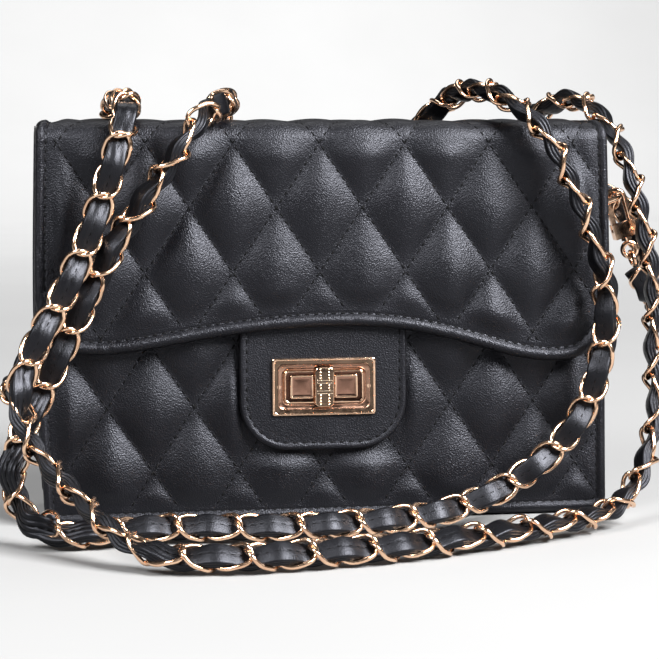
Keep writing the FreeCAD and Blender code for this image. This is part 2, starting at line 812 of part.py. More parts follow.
def side_frames(side):
    """The places of the ring's bar and of the hook's pivot, with how each piece leans."""
    bar = vector(f"{side} * dim.ring_out", "dim.ring_forward", "dim.ring_high")
    lift = value("dim.ring_lift_right") if side > 0 else 0
    lean = value("dim.hook_lean_right") if side > 0 else 0
    ring = FreeCAD.Placement(bar, about_y(-lift))
    pivot = ring.multVec(FreeCAD.Vector(0, 0, -value("dim.ring_long")))
    hook = FreeCAD.Placement(pivot, about_y(-lean))
    return ring, hook


def move_piece(piece, to):
    """Carry a piece, with the place that its formulas gave it, into another frame."""
    own = piece.Placement
    for axis in "xyz":
        piece.setExpression(f"Placement.Base.{axis}", None)
    piece.Placement = to.multiply(own)


def make_hardware(side, name):
    """A ring and a hook on one side, leaning as they hang."""
    ring_place, hook_place = side_frames(side)
    ring = ring_wires(name.title() + "Ring")
    ring.Placement = ring_place
    finish(ring, f"{name}_ring")
    pieces = hook_pieces(name.title())
    doc.recompute()
    for part, piece in pieces.items():
        move_piece(piece, hook_place)
        finish(piece, f"{name}_{part}")


def make_ring_tab(side, name):
    """The small block on the gusset, with a bored barrel that the ring's bar turns in."""
    label = name.title()
    forward, high, grip = "dim.ring_forward", "dim.ring_high", "dim.ring_tab_grip"
    out = f"{side} * dim.ring_out"
    face = f"{side} * {GUSSET_FACE}"
    far = f"{side} * ({GUSSET_FACE} + dim.ring_tab_reach)"
    x_low, x_high = (face, far) if side > 0 else (far, face)
    low = (x_low, f"{forward} - {grip}", high)
    plate = box(label + "TabPlate", low, (x_high, f"{forward} + {grip}", f"{high} + dim.ring_tab_tall"))
    barrel_start = (out, f"{forward} - {grip}", high)
    barrel = cylinder(label + "TabBarrel", "dim.ring_tab_barrel", barrel_start, f"2 * {grip}", "y")
    bore_start = (out, f"{forward} - dim.through", high)
    radius = "dim.ring_wire + dim.shaft_play"
    bore = cylinder(label + "TabBore", radius, bore_start, "2 * dim.through", "y")
    finish(cut(label + "RingTab", fuse(label + "TabSolid", [plate, barrel]), bore), f"{name}_ring_tab")


# ---- The chain and leather strap ----
# Chosen points of the strap's middle line, from behind the left end, over the top, down the
# front, along the ground, up the right and over again, twice round.

STRAP = [
    (-60, 38, 118),
    (-51, 38, 132),
    (-43, 32, 146),
    (-38, 16, 154),
    (-37, -8, 154),
    (-41, -32, 149),
    (-50, -42, 135),
    (-61, -42, 119),
    (-72, -42, 104),
    (-82, -42, 86),
    (-91, -42, 67),
    (-99, -42, 50),
    (-107, -45, 36),
    (-111, -49, 22),
    (-106, -56, 9),
    (-95, -64, 5.2),
    (-80, -63, 5),
    (-64, -56, 5),
    (-46, -58, 5),
    (-27, -62, 5),
    (-6, -62, 5),
    (15, -57, 5),
    (36, -50, 6),
    (56, -44, 11),
    (75, -41, 22),
    (89, -40, 37),
    (96, -39, 57),
    (98, -39, 78),
    (93, -39, 98),
    (85, -39, 117),
    (76, -39, 135),
    (67, -32, 149),
    (59, -12, 155),
    (50, 10, 155),
    (43, 28, 148),
    (34, 37, 137),
    (20, 42, 130),
    (2, 45, 126),
    (-18, 49, 124),
    (-38, 52, 125),
    (-55, 50, 129),
    (-67, 42, 137),
    (-72, 30, 148),
    (-71, 15, 154),
    (-69, -10, 154),
    (-69, -33, 150),
    (-72, -43, 136),
    (-77, -43, 119),
    (-83, -44, 102),
    (-91, -46, 84),
    (-101, -49, 68),
    (-108, -53, 52),
    (-106, -57, 38),
    (-98, -65, 28),
    (-89, -76, 20),
    (-80, -89, 12),
    (-69, -101, 6),
    (-55, -107, 5),
    (-34, -108, 5),
    (-12, -104, 5),
    (12, -99, 5),
    (36, -89, 5),
    (60, -77, 5),
    (82, -65, 5),
    (100, -52, 7),
    (112, -40, 20),
    (119, -31, 38),
    (118, -26, 58),
    (120, -23, 79),
    (117, -20, 100),
    (113, -16, 121),
    (109, -9, 138),
    (103, 3, 149),
    (98, 18, 154),
    (92, 33, 149),
    (87, 44, 138),
    (84, 50, 126),
]
LEFT_TAIL = [
    (-95.5, -6, 65.2),
    (-97, -5, 54),
    (-103, 2, 46),
    (-109, 13, 42),
    (-111, 26, 42),
    (-106, 38, 45),
    (-96, 45, 55),
    (-85, 46, 70),
    (-76, 43, 87),
    (-69, 38, 104),
    (-60, 38, 118),
]
RIGHT_TAIL = [
    (117.9, -6, 86),
    (121, -5, 76),
    (126, 3, 67),
    (131, 14, 68),
    (134, 25, 77),
    (134, 33, 90),
    (130, 39, 104),
    (122, 44, 114),
    (111, 49, 112),
    (103, 53, 102),
    (92, 56, 95),
    (83, 58, 102),
    (81, 56, 114),
    (84, 50, 126),
]


def rounded_route(points):
    """Straight runs joined by tangent arcs, each as large as its two runs allow."""
    places = [FreeCAD.Vector(*p) for p in points]
    edges, radii, start = [], [], places[0]
    for before, here, after in zip(places, places[1:], places[2:]):
        arriving, leaving = before - here, after - here
        trim = 0.45 * min(arriving.Length, leaving.Length)
        turn = math.pi - arriving.getAngle(leaving)
        radii.append(trim / math.tan(turn / 2))
        arriving.normalize()
        leaving.normalize()
        enter, leave = here + arriving * trim, here + leaving * trim
        bisector = arriving + leaving
        bisector.normalize()
        reach = radii[-1] / math.cos(turn / 2) - radii[-1]
        edges.append(Part.LineSegment(start, enter).toShape())
        edges.append(Part.Arc(enter, here + bisector * reach, leave).toShape())
        start = leave
    edges.append(Part.LineSegment(start, places[-1]).toShape())
    return Part.Wire(edges), radii


def make_tube(name, points):
    """A plain round tube along a route, made with Part's own sweep: no sketch or primitive fits."""
    wire, radii = rounded_route(points)
    radius = value("dim.strap_diameter") / 2
    heading = wire.Edges[0].tangentAt(wire.Edges[0].FirstParameter)
    circle = Part.Wire(Part.makeCircle(radius, FreeCAD.Vector(*points[0]), heading))
    piece = doc.addObject("Part::Feature", name.title().replace("_", ""))
    piece.Shape = wire.makePipeShell([circle], True, False)
    piece.Placement = FreeCAD.Placement()
    share = piece.Shape.Volume / (math.pi * radius**2 * wire.Length)
    print(f"{name}: length {wire.Length:.1f}, volume share {share:.4f}, least radius {min(radii):.1f}")
    finish(piece, name)


# ---- Make everything ----

make_panels()
make_gussets()
make_base()
make_lining()
make_inner_pocket()
make_flap()
make_flap_binding()
make_base_plate()
make_backing_plate()
make_rivets()
make_turn_shaft()
make_turn_bar()
make_lock_tab()
make_lock_frame()
make_inlays()
make_frame_back_plate()
make_frame_screws()
for side, name in ((-1, "left"), (1, "right")):
    make_hardware(side, name)
    make_ring_tab(side, name)
make_tube("strap", STRAP)
make_tube("left_strap_end", LEFT_TAIL)
make_tube("right_strap_end", RIGHT_TAIL)
doc.recompute()

for item in doc.Objects:
    if "Invalid" in item.State or "Error" in item.State:
        raise RuntimeError(f"{item.Name} is {item.State}")
os.makedirs("parts", exist_ok=True)
for piece in FINISHED:
    shape = piece.Shape
    if shape.isNull() or not shape.isValid():
        raise RuntimeError(f"{piece.Label} has no valid shape")
    shape.exportStep(f"parts/{piece.Label}.step")
print(len(FINISHED), "sub-parts")
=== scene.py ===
import math

import bmesh
import bpy
import numpy as np
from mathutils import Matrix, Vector


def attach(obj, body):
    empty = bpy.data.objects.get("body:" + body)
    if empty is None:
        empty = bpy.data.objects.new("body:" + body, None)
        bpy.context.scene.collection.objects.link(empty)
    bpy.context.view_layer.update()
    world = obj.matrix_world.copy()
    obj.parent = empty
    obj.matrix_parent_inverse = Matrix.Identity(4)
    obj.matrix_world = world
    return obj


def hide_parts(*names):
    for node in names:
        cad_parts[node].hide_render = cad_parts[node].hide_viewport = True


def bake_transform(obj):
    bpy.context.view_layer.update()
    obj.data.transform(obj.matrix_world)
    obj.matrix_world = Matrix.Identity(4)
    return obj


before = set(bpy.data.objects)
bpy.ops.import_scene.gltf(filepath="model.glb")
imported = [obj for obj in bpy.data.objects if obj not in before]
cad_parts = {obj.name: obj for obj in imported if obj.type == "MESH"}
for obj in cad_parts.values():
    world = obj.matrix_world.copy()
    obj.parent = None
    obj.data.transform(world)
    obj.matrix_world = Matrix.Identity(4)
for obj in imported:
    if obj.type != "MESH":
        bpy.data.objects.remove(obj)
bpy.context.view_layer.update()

MM = 0.001

# ---------------------------------------------------------------- helpers


def make_object(name, verts, faces, material=None, smooth=True):
    """A mesh object from points in millimetres in the row frame."""
    mesh = bpy.data.meshes.new(name)
    points = (np.asarray(verts, float) * MM).tolist()
    mesh.from_pydata(points, [], [list(map(int, f)) for f in faces])
    mesh.validate(verbose=False)
    mesh.update()
    if smooth:
        mesh.polygons.foreach_set("use_smooth", [True] * len(mesh.polygons))
    obj = bpy.data.objects.new(name, mesh)
    bpy.context.scene.collection.objects.link(obj)
    if material:
        mesh.materials.append(material)
    return obj


def smoothstep(t):
    t = np.clip(t, 0.0, 1.0)
    return t * t * (3 - 2 * t)


def unit(v):
    v = np.asarray(v, float)
    return v / np.maximum(np.linalg.norm(v, axis=-1, keepdims=True), 1e-12)


def tube_faces(rings, sides, closed):
    """Quads of a tube whose points are given ring after ring."""
    faces = []
    last = rings if closed else rings - 1
    for i in range(last):
        a, b = i * sides, ((i + 1) % rings) * sides
        for k in range(sides):
            n = (k + 1) % sides
            faces.append((a + k, a + n, b + n, b + k))
    return faces


class Parts:
    """Collects many small shapes into one mesh."""

    def __init__(self):
        self.verts, self.faces, self.count = [], [], 0

    def add(self, verts, faces):
        self.verts.append(np.asarray(verts, float))
        self.faces += [tuple(i + self.count for i in f) for f in faces]
        self.count += len(verts)

    def make(self, name, material):
        return make_object(name, np.concatenate(self.verts), self.faces, material)


def settle(pieces, body):
    """The pieces ride on one body."""
    for piece in pieces:
        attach(piece, body)


def ring_caps(rings, sides):
    """The two flat ends of a tube whose points are given ring after ring."""
    last = (rings - 1) * sides
    return [tuple(range(sides))[::-1], tuple(last + k for k in range(sides))]


STITCH_SIDES = 6


def stitch(start, end, up, radius=0.28, sink=0.16):
    """One stitch: a short thread that bows up between two needle holes."""
    start, end, up = np.asarray(start, float), np.asarray(end, float), unit(up)
    along = unit(end - start)
    side = np.cross(along, up)
    ts = (0.0, 0.16, 0.5, 0.84, 1.0)
    rads = (0.45, 0.95, 1.0, 0.95, 0.45)
    rise = (-0.3, 0.3, 0.6, 0.3, -0.3)
    verts = []
    for t, r, h in zip(ts, rads, rise):
        centre = start + (end - start) * t + up * (h * radius * 1.6 - sink)
        for k in range(STITCH_SIDES):
            a = 2 * math.pi * k / STITCH_SIDES
            verts.append(centre + radius * r * (math.cos(a) * side + math.sin(a) * up))
    return verts, tube_faces(len(ts), STITCH_SIDES, False) + ring_caps(len(ts), STITCH_SIDES)


# ---------------------------------------------------------------- materials


class Look:
    """One material, with the few kinds of node that the looks here are made of."""

    def __init__(self, name):
        self.material = bpy.data.materials.new(name)
        self.material.use_nodes = True
        self.shader = self.material.node_tree.nodes["Principled BSDF"].inputs
        self.coords = self.add("ShaderNodeTexCoord").outputs["Object"]

    def add(self, kind):
        return self.material.node_tree.nodes.new(kind)

    def link(self, source, target):
        self.material.node_tree.links.new(source, target)

    def noise(self, scale, detail=3.0, roughness=0.5, stretch=None):
        node = self.add("ShaderNodeTexNoise")
        node.inputs["Scale"].default_value = scale
        node.inputs["Detail"].default_value = detail
        node.inputs["Roughness"].default_value = roughness
        source = self.coords
        if stretch:
            mapping = self.add("ShaderNodeMapping")
            mapping.inputs["Scale"].default_value = stretch
            self.link(self.coords, mapping.inputs["Vector"])
            source = mapping.outputs["Vector"]
        self.link(source, node.inputs["Vector"])
        return node.outputs["Fac"]

    def ramp(self, source, stops):
        node = self.add("ShaderNodeValToRGB")
        for element, (place, colour) in zip(node.color_ramp.elements, stops):
            element.position = place
            element.color = (*colour, 1)
        self.link(source, node.inputs["Fac"])
        return node.outputs["Color"]

    def mix(self, kind, factor, first):
        """A colour mix whose second colour the caller sets or links."""
        node = self.add("ShaderNodeMix")
        node.data_type = "RGBA"
        node.blend_type = kind
        if isinstance(factor, float):
            node.inputs["Factor"].default_value = factor
        else:
            self.link(factor, node.inputs["Factor"])
        self.link(first, node.inputs["A"])
        return node

    def bump(self, height, strength, distance, normal=None):
        node = self.add("ShaderNodeBump")
        node.inputs["Strength"].default_value = strength
        node.inputs["Distance"].default_value = distance
        self.link(height, node.inputs["Height"])
        if normal:
            self.link(normal, node.inputs["Normal"])
        return node.outputs["Normal"]


def leather(name, tone=1.0, rough=0.40, grain=1.0, wear=1.0):
    """Black coated leather: fine pebble grain, soft creases, uneven sheen, rubbed high spots."""
    look = Look(name)
    low = (0.0012 * tone, 0.0012 * tone, 0.0018 * tone)
    high = (0.0025 * tone, 0.0024 * tone, 0.0034 * tone)
    base = look.ramp(look.noise(28, 4), [(0.3, low), (0.72, high)])
    edges = look.add("ShaderNodeNewGeometry").outputs["Pointiness"]
    worn = look.ramp(edges, [(0.52, (0, 0, 0)), (0.62, (1, 1, 1))])
    amount = look.add("ShaderNodeMath")
    amount.operation = "MULTIPLY"
    amount.inputs[1].default_value = 0.35 * wear
    look.link(worn, amount.inputs[0])
    rubbed = look.mix("MIX", amount.outputs[0], base)
    rubbed.inputs["B"].default_value = (0.007, 0.0067, 0.0078, 1)
    look.link(rubbed.outputs["Result"], look.shader["Base Color"])
    sheen = [(0.25, (rough - 0.05,) * 3), (0.75, (rough + 0.07,) * 3)]
    look.link(look.ramp(look.noise(90), sheen), look.shader["Roughness"])
    look.shader["Specular IOR Level"].default_value = 0.31
    look.shader["Specular Tint"].default_value = (0.86, 0.88, 1.0, 1)
    cells = look.add("ShaderNodeTexVoronoi")
    cells.feature = "SMOOTH_F1"
    cells.inputs["Scale"].default_value = 2300
    warp = look.add("ShaderNodeTexNoise")
    warp.inputs["Scale"].default_value = 1100
    look.link(look.coords, warp.inputs["Vector"])
    shift = look.add("ShaderNodeVectorMath")
    shift.operation = "MULTIPLY_ADD"
    shift.inputs[1].default_value = (0.0003, 0.0003, 0.0003)
    look.link(warp.outputs["Color"], shift.inputs[0])
    look.link(look.coords, shift.inputs[2])
    look.link(shift.outputs["Vector"], cells.inputs["Vector"])
    pebbles = look.bump(cells.outputs["Distance"], 0.70 * grain, 0.00026)
    pores = look.bump(look.noise(3600, 2), 0.35 * grain, 0.00012, pebbles)
    creases = look.bump(look.noise(260, 4, 0.6), 0.03, 0.0004, pores)
    look.link(creases, look.shader["Normal"])
    return look.material


def plated(name, colour, dark, rough=0.14):
    """Polished plating: faint brushing, a little tarnish in random patches, fine scratches."""
    look = Look(name)
    tint = look.ramp(look.noise(220), [(0.3, dark), (0.62, colour)])
    look.link(tint, look.shader["Base Color"])
    look.shader["Metallic"].default_value = 1.0
    polish = [(0.3, (rough - 0.05,) * 3), (0.8, (rough + 0.09,) * 3)]
    look.link(look.ramp(look.noise(500), polish), look.shader["Roughness"])
    scratch = look.noise(2600, 2, 0.5, (1.0, 1.0, 0.12))
    look.link(look.bump(scratch, 0.05, 0.00005), look.shader["Normal"])
    return look.material


def cloth(name, colour, dark):
    """Plain woven lining: warp and weft as crossed waves, a little sheen."""
    look = Look(name)
    total = None
    for axis in ("X", "Z", "Y"):
        wave = look.add("ShaderNodeTexWave")
        wave.bands_direction = axis
        wave.inputs["Scale"].default_value = 620
        wave.inputs["Distortion"].default_value = 0.6
        look.link(look.coords, wave.inputs["Vector"])
        if total is None:
            total = wave.outputs["Fac"]
            continue
        both = look.add("ShaderNodeMath")
        both.operation = "ADD"
        look.link(total, both.inputs[0])
        look.link(wave.outputs["Fac"], both.inputs[1])
        total = both.outputs[0]
    look.link(look.ramp(total, [(0.2, dark), (0.9, colour)]), look.shader["Base Color"])
    look.shader["Roughness"].default_value = 0.62
    look.shader["Sheen Weight"].default_value = 0.35
    look.link(look.bump(total, 0.5, 0.0002), look.shader["Normal"])
    return look.material


def fibrous(name, scale, detail, dark, colour, rough, strength, depth):
    """A dull material of fine fibres: the sewing thread and the stiffening board."""
    look = Look(name)
    fibre = look.noise(scale, detail)
    look.link(look.ramp(fibre, [(0.3, dark), (0.8, colour)]), look.shader["Base Color"])
    look.shader["Roughness"].default_value = rough
    look.link(look.bump(fibre, strength, depth), look.shader["Normal"])
    return look


QUILTED = leather("quilted_leather")
SMOOTH = leather("smooth_leather", 1.0, 0.42, 0.9)
STRIP = leather("strip_leather", 0.5, 0.40, 0.4, 0.4)
GOLD = plated("rose_gold", (0.93, 0.64, 0.45), (0.84, 0.54, 0.37))
CHAIN = plated("chain_gold", (0.93, 0.63, 0.43), (0.78, 0.48, 0.31), 0.17)
# Copies of the one rose gold: the darker ones are painted shade on parts of the lock, and the brightest
# is a painted highlight on the bar's beads.
GOLD_PAINTED_FACE_SHADE = plated("gold_painted_face_shade", (0.36, 0.20, 0.145), (0.28, 0.15, 0.105), 0.17)
GOLD_PAINTED_HALF_SHADE = plated("gold_painted_half_shade", (0.46, 0.27, 0.19), (0.34, 0.19, 0.13), 0.2)
GOLD_PAINTED_DEEP_SHADE = plated("gold_painted_deep_shade", (0.12, 0.060, 0.042), (0.08, 0.038, 0.026), 0.24)
GOLD_PAINTED_SHADE = plated("gold_painted_shade", (0.20, 0.135, 0.095), (0.14, 0.092, 0.062), 0.24)
GOLD_PAINTED_HIGHLIGHT = plated("gold_painted_highlight", (1.0, 0.80, 0.62), (0.95, 0.72, 0.52), 0.12)
STEEL = plated("plain_steel", (0.55, 0.54, 0.52), (0.42, 0.41, 0.40), 0.28)
LINING = cloth("lining_cloth", (0.030, 0.028, 0.029), (0.008, 0.008, 0.009))
THREAD_DARK, THREAD_LIGHT = (0.0012, 0.0012, 0.0014), (0.004, 0.004, 0.005)
THREAD_LOOK = fibrous("thread", 4200, 2, THREAD_DARK, THREAD_LIGHT, 0.75, 0.5, 0.0001)
THREAD_LOOK.shader["Specular IOR Level"].default_value = 0.12
THREAD = THREAD_LOOK.material
BOARD = fibrous("board", 900, 5, (0.30, 0.24, 0.18), (0.50, 0.42, 0.33), 0.85, 0.3, 0.0002).material

# ---------------------------------------------------------------- camera

CAMERA_AT = (-0.1095, -0.7224, 0.1380)
CAMERA_YAW = math.radians(9.0)
CAMERA_DOWN = math.radians(5.68)
CAMERA_LENS, CAMERA_SENSOR = 110.57, 36.0


def make_camera():
    data = bpy.data.cameras.new("Camera")
    data.lens = CAMERA_LENS
    data.sensor_width = CAMERA_SENSOR
    data.clip_start, data.clip_end = 0.01, 50
    camera = bpy.data.objects.new("Camera", data)
    camera.location = CAMERA_AT
    level = math.cos(CAMERA_DOWN)
    ahead = Vector((math.sin(CAMERA_YAW) * level, math.cos(CAMERA_YAW) * level, -math.sin(CAMERA_DOWN)))
    camera.rotation_euler = ahead.to_track_quat("-Z", "Y").to_euler()
    bpy.context.scene.collection.objects.link(camera)
    bpy.context.scene.camera = camera


make_camera()

# ---------------------------------------------------------------- the strap's route
# The CAD tubes' own points, in millimetres: a short end at each hook and the main run. To follow
# the photograph, the four tops are moved and lowered, the first with two more points, and
# the right end is moved at three points. Points on the ground are at 5.5 or more, so that links clear it.

LEFT_TAIL = [
    (-95.5, -6, 65.2),
    (-97, -5, 54),
    (-103, 2, 46),
    (-109, 13, 42),
    (-111, 26, 42),
    (-106, 38, 45),
    (-96, 45, 55),
    (-85, 46, 70),
    (-76, 43, 87),
    (-69, 38, 104),
    (-60, 38, 118),
]
STRAP = [
    (-60, 38, 118),
    (-55, 38, 126),
    (-45, 39, 131),
    (-34, 37, 136),
    (-30, 24, 146),
    (-31, 6, 148),
    (-34, -12, 147),
    (-41, -32, 145),
    (-50, -42, 135),
    (-61, -42, 119),
    (-72, -42, 104),
    (-82, -42, 86),
    (-91, -42, 67),
    (-99, -42, 50),
    (-107, -45, 36),
    (-111, -49, 22),
    (-106, -56, 9),
    (-95, -64, 5.5),
    (-80, -63, 5.5),
    (-64, -56, 5.5),
    (-46, -58, 5.5),
    (-27, -62, 5.5),
    (-6, -62, 5.5),
    (15, -57, 5.5),
    (36, -50, 6),
    (56, -44, 11),
    (75, -41, 22),
    (89, -40, 37),
    (96, -39, 57),
    (98, -39, 78),
    (93, -39, 98),
    (85, -39, 117),
    (76, -39, 135),
    (67, -32, 146),
    (60, -12, 152),
    (55, 8, 152),
    (50, 25, 146),
    (42, 36, 134),
    (20, 42, 130),
    (2, 45, 126),
    (-18, 49, 124),
    (-38, 52, 125),
    (-55, 50, 129),
    (-66, 42, 132),
    (-72, 34, 142),
    (-71, 17, 148),
    (-69, -12, 148),
    (-69, -33, 146),
    (-72, -43, 136),
    (-77, -43, 119),
    (-83, -44, 102),
    (-91, -46, 84),
    (-101, -49, 68),
    (-108, -53, 52),
    (-106, -57, 38),
    (-98, -65, 28),
    (-89, -76, 20),
    (-80, -89, 12),
    (-69, -101, 6),
    (-55, -107, 5.5),
    (-34, -108, 5.5),
    (-12, -104, 5.5),
    (12, -99, 5.5),
    (36, -89, 5.5),
    (60, -77, 5.5),
    (82, -65, 5.5),
    (100, -52, 7),
    (112, -40, 20),
    (119, -31, 38),
    (118, -26, 58),
    (120, -23, 79),
    (117, -20, 100),
    (113, -16, 121),
    (110, -9, 134),
    (105, 3, 145),
    (100, 18, 150),
    (93, 33, 146),
    (87, 44, 138),
    (84, 50, 126),
]
RIGHT_TAIL = [
    (117.9, -6, 86),
    (123.5, -4, 77.5),
    (129.5, 4, 71),
    (132.5, 14, 72),
    (134, 25, 77),
    (134, 33, 90),
    (130, 39, 104),
    (122, 44, 114),
    (111, 49, 112),
    (103, 53, 102),
    (92, 56, 95),
    (83, 58, 102),
    (81, 56, 114),
    (84, 50, 126),
]

# The chain: wished pitch of the links, half width of a link and radius of its wire, how far the
# joints stand to either side of the route, and how far the leather strip weaves across it.
PITCH = 10.15
LINK_HALF_WIDE, WIRE = 4.25, 0.80
ZIG = 2.45
WEAVE = 1.25
STRIP_HALF_WIDE, STRIP_HALF_THICK = 3.55, 1.6
LIP = 0.42


def curve_points(name, route):
    """Points along the smooth line through a route: a NURBS curve with the route as control points."""
    data = bpy.data.curves.new(name, "CURVE")
    data.dimensions = "3D"
    data.resolution_u = 16
    spline = data.splines.new("NURBS")
    spline.points.add(len(route) - 1)
    for point, place in zip(spline.points, route):
        point.co = (*(c * MM for c in place), 1.0)
    spline.order_u = 3
    spline.use_endpoint_u = True
    obj = bpy.data.objects.new(name, data)
    bpy.context.scene.collection.objects.link(obj)
    graph = bpy.context.evaluated_depsgraph_get()
    mesh = bpy.data.meshes.new_from_object(obj.evaluated_get(graph))
    points = np.array([v.co for v in mesh.vertices], float) / MM
    bpy.data.meshes.remove(mesh)
    bpy.data.objects.remove(obj)
    bpy.data.curves.remove(data)
    return points


def arc_lengths(points):
    steps = np.linalg.norm(np.diff(points, axis=0), axis=1)
    return np.concatenate([[0.0], np.cumsum(steps)])


def resample(points, lengths, at):
    return np.stack([np.interp(at, lengths, points[:, k]) for k in range(3)], axis=1)


LEFT_LINE = curve_points("left_route", LEFT_TAIL)
MAIN_LINE = curve_points("main_route", STRAP)
RIGHT_LINE = curve_points("right_route", RIGHT_TAIL)[::-1]
WHOLE = np.concatenate([LEFT_LINE, MAIN_LINE[1:], RIGHT_LINE[1:]])
WHOLE_S = arc_lengths(WHOLE)
MAIN_START = WHOLE_S[len(LEFT_LINE) - 1]
MAIN_END = WHOLE_S[len(LEFT_LINE) + len(MAIN_LINE) - 2]

# Which way the flat side of the chain faces at chosen points of the route.
FACING = [
    (LEFT_TAIL[0], (0, 1, 0)),
    (LEFT_TAIL[4], (1, 0.3, 0)),
    (LEFT_TAIL[7], (0.2, 1, 0.1)),
    (STRAP[0], (0.3, 1, 0)),
    (STRAP[4], (0.95, -0.14, 0.3)),
    (STRAP[7], (0.9, -0.14, 0.3)),
    (STRAP[8], (0.8, 0.1, -0.5)),
    (STRAP[10], (0.62, 0.6, -0.4)),
    (STRAP[12], (0.1, 1, -0.1)),
    (STRAP[14], (0.15, 1, -0.1)),
    (STRAP[15], (0.75, 0.6, -0.1)),
    (STRAP[16], (0.8, 0.4, 0.3)),
    (STRAP[17], (0.2, 0.5, -0.9)),
    (STRAP[19], (0, 0.75, -0.65)),
    (STRAP[23], (0, 0.8, -0.6)),
    (STRAP[27], (0.1, 0.95, -0.2)),
    (STRAP[29], (0.75, 0.65, 0)),
    (STRAP[30], (1, -0.12, 0.1)),
    (STRAP[32], (0.95, -0.14, 0.3)),
    (STRAP[34], (0.4, 0.1, 0.9)),
    (STRAP[35], (0.2, 0.1, 1)),
    (STRAP[36], (0.5, 0.3, 0.8)),
    (STRAP[38], (0, 0.8, 0.6)),
    (STRAP[40], (0, 1, 0)),
    (STRAP[43], (0, 0.9, 0.5)),
    (STRAP[45], (0, 0, 1)),
    (STRAP[47], (0, -0.8, 0.6)),
    (STRAP[48], (0, -1, 0)),
    (STRAP[52], (0.1, -1, 0)),
    (STRAP[53], (0.35, -0.8, 0.2)),
    (STRAP[54], (0.85, 0.3, 0.4)),
    (STRAP[56], (0.65, 0.45, 0.6)),
    (STRAP[57], (0.5, 0.2, 0.8)),
    (STRAP[59], (0.05, -0.72, 0.68)),
    (STRAP[62], (0, -0.75, 0.65)),
    (STRAP[64], (0, -0.25, 1)),
    (STRAP[66], (-0.4, 0, 0.9)),
    (STRAP[68], (-1, 0.15, 0.1)),
    (STRAP[72], (-1, 0.15, 0)),
    (STRAP[74], (-0.5, 0.1, -0.8)),
    (STRAP[76], (-0.1, -0.2, -1)),
    (STRAP[78], (0, -1, 0)),
    (RIGHT_TAIL[9], (0, -1, 0.1)),
    (RIGHT_TAIL[5], (-0.7, -0.7, 0)),
    (RIGHT_TAIL[2], (-0.8, -0.3, 0.3)),
    (RIGHT_TAIL[0], (0, -1, 0)),
]


def facing_stations():
    """The arc length at which the route passes each facing point, and the direction there."""
    places, directions, seen = [], [], 0.0
    for point, direction in FACING:
        ahead = (WHOLE_S >= seen) & (WHOLE_S <= seen + 260)
        far = np.linalg.norm(WHOLE - np.array(point, float), axis=1)
        far[~ahead] = 1e9
        seen = WHOLE_S[int(far.argmin())]
        places.append(seen)
        directions.append(unit(direction))
    return np.array(places), np.array(directions)


FACE_S, FACE_N = facing_stations()


def route_frame(at):
    """Place, direction and facing of the route at arc lengths."""
    at = np.asarray(at, float)
    place = resample(WHOLE, WHOLE_S, at)
    ahead = resample(WHOLE, WHOLE_S, np.minimum(at + 1.5, WHOLE_S[-1]))
    behind = resample(WHOLE, WHOLE_S, np.maximum(at - 1.5, 0))
    along = unit(ahead - behind)
    total = np.zeros_like(place)
    for shift in (-6, -3, 0, 3, 6):
        total += resample(FACE_N, FACE_S, np.clip(at + shift, 0, FACE_S[-1]))
    facing = total - along * np.sum(total * along, axis=1, keepdims=True)
    return place, along, unit(facing)


WHOLE_LENGTH = WHOLE_S[-1]
LINKS = int(WHOLE_LENGTH // PITCH)
PITCH_TRUE = WHOLE_LENGTH / LINKS


def weave_height(at):
    """How far the leather strip stands off the middle of the chain."""
    return WEAVE * np.cos(math.pi * at / PITCH_TRUE)


def strip_frame(at):
    place, along, facing = route_frame(at)
    line = place + facing * weave_height(at)[:, None]
    step = 0.8
    before, _, facing_a = route_frame(np.maximum(at - step, 0))
    after, _, facing_b = route_frame(np.minimum(at + step, WHOLE_LENGTH))
    before = before + facing_a * weave_height(np.maximum(at - step, 0))[:, None]
    after = after + facing_b * weave_height(np.minimum(at + step, WHOLE_LENGTH))[:, None]
    along = unit(after - before)
    facing = unit(facing - along * np.sum(facing * along, axis=1, keepdims=True))
    return line, along, facing


def stretch_share(at, first, last):
    """1 between two points of the strap's route, fading to 0 over 15 mm beyond them."""
    places = []
    for point in (STRAP[first], STRAP[last]):
        near = np.linalg.norm(MAIN_LINE - np.array(point, float), axis=1).argmin()
        places.append(MAIN_START + arc_lengths(MAIN_LINE)[near])
    inside = np.minimum(at - places[0], places[1] - at)
    return smoothstep((inside + 15) / 15)


def strip_section(half_wide, half_thick):
    """Half of the outline is a smooth crowned face, and each thin side shows four folded plies."""
    outline = []
    faces = 19
    plies, steps = 3, 4
    for sign in (1, -1):
        for k in range(faces):
            t = -1 + 2 * k / (faces - 1)
            x = t * (half_wide - LIP) * sign * -1
            crown = 0.26 * (1 - t * t) - 0.04 * math.exp(-((t / 0.12) ** 2))
            outline.append((x, sign * (half_thick + crown)))
        for k in range(1, plies * steps):
            t = k / (plies * steps)
            bulge = abs(math.sin(math.pi * plies * t)) ** 0.6
            reach = half_wide - LIP + LIP * bulge
            outline.append((-sign * reach, sign * half_thick * (1 - 2 * t)))
    return np.array(outline)


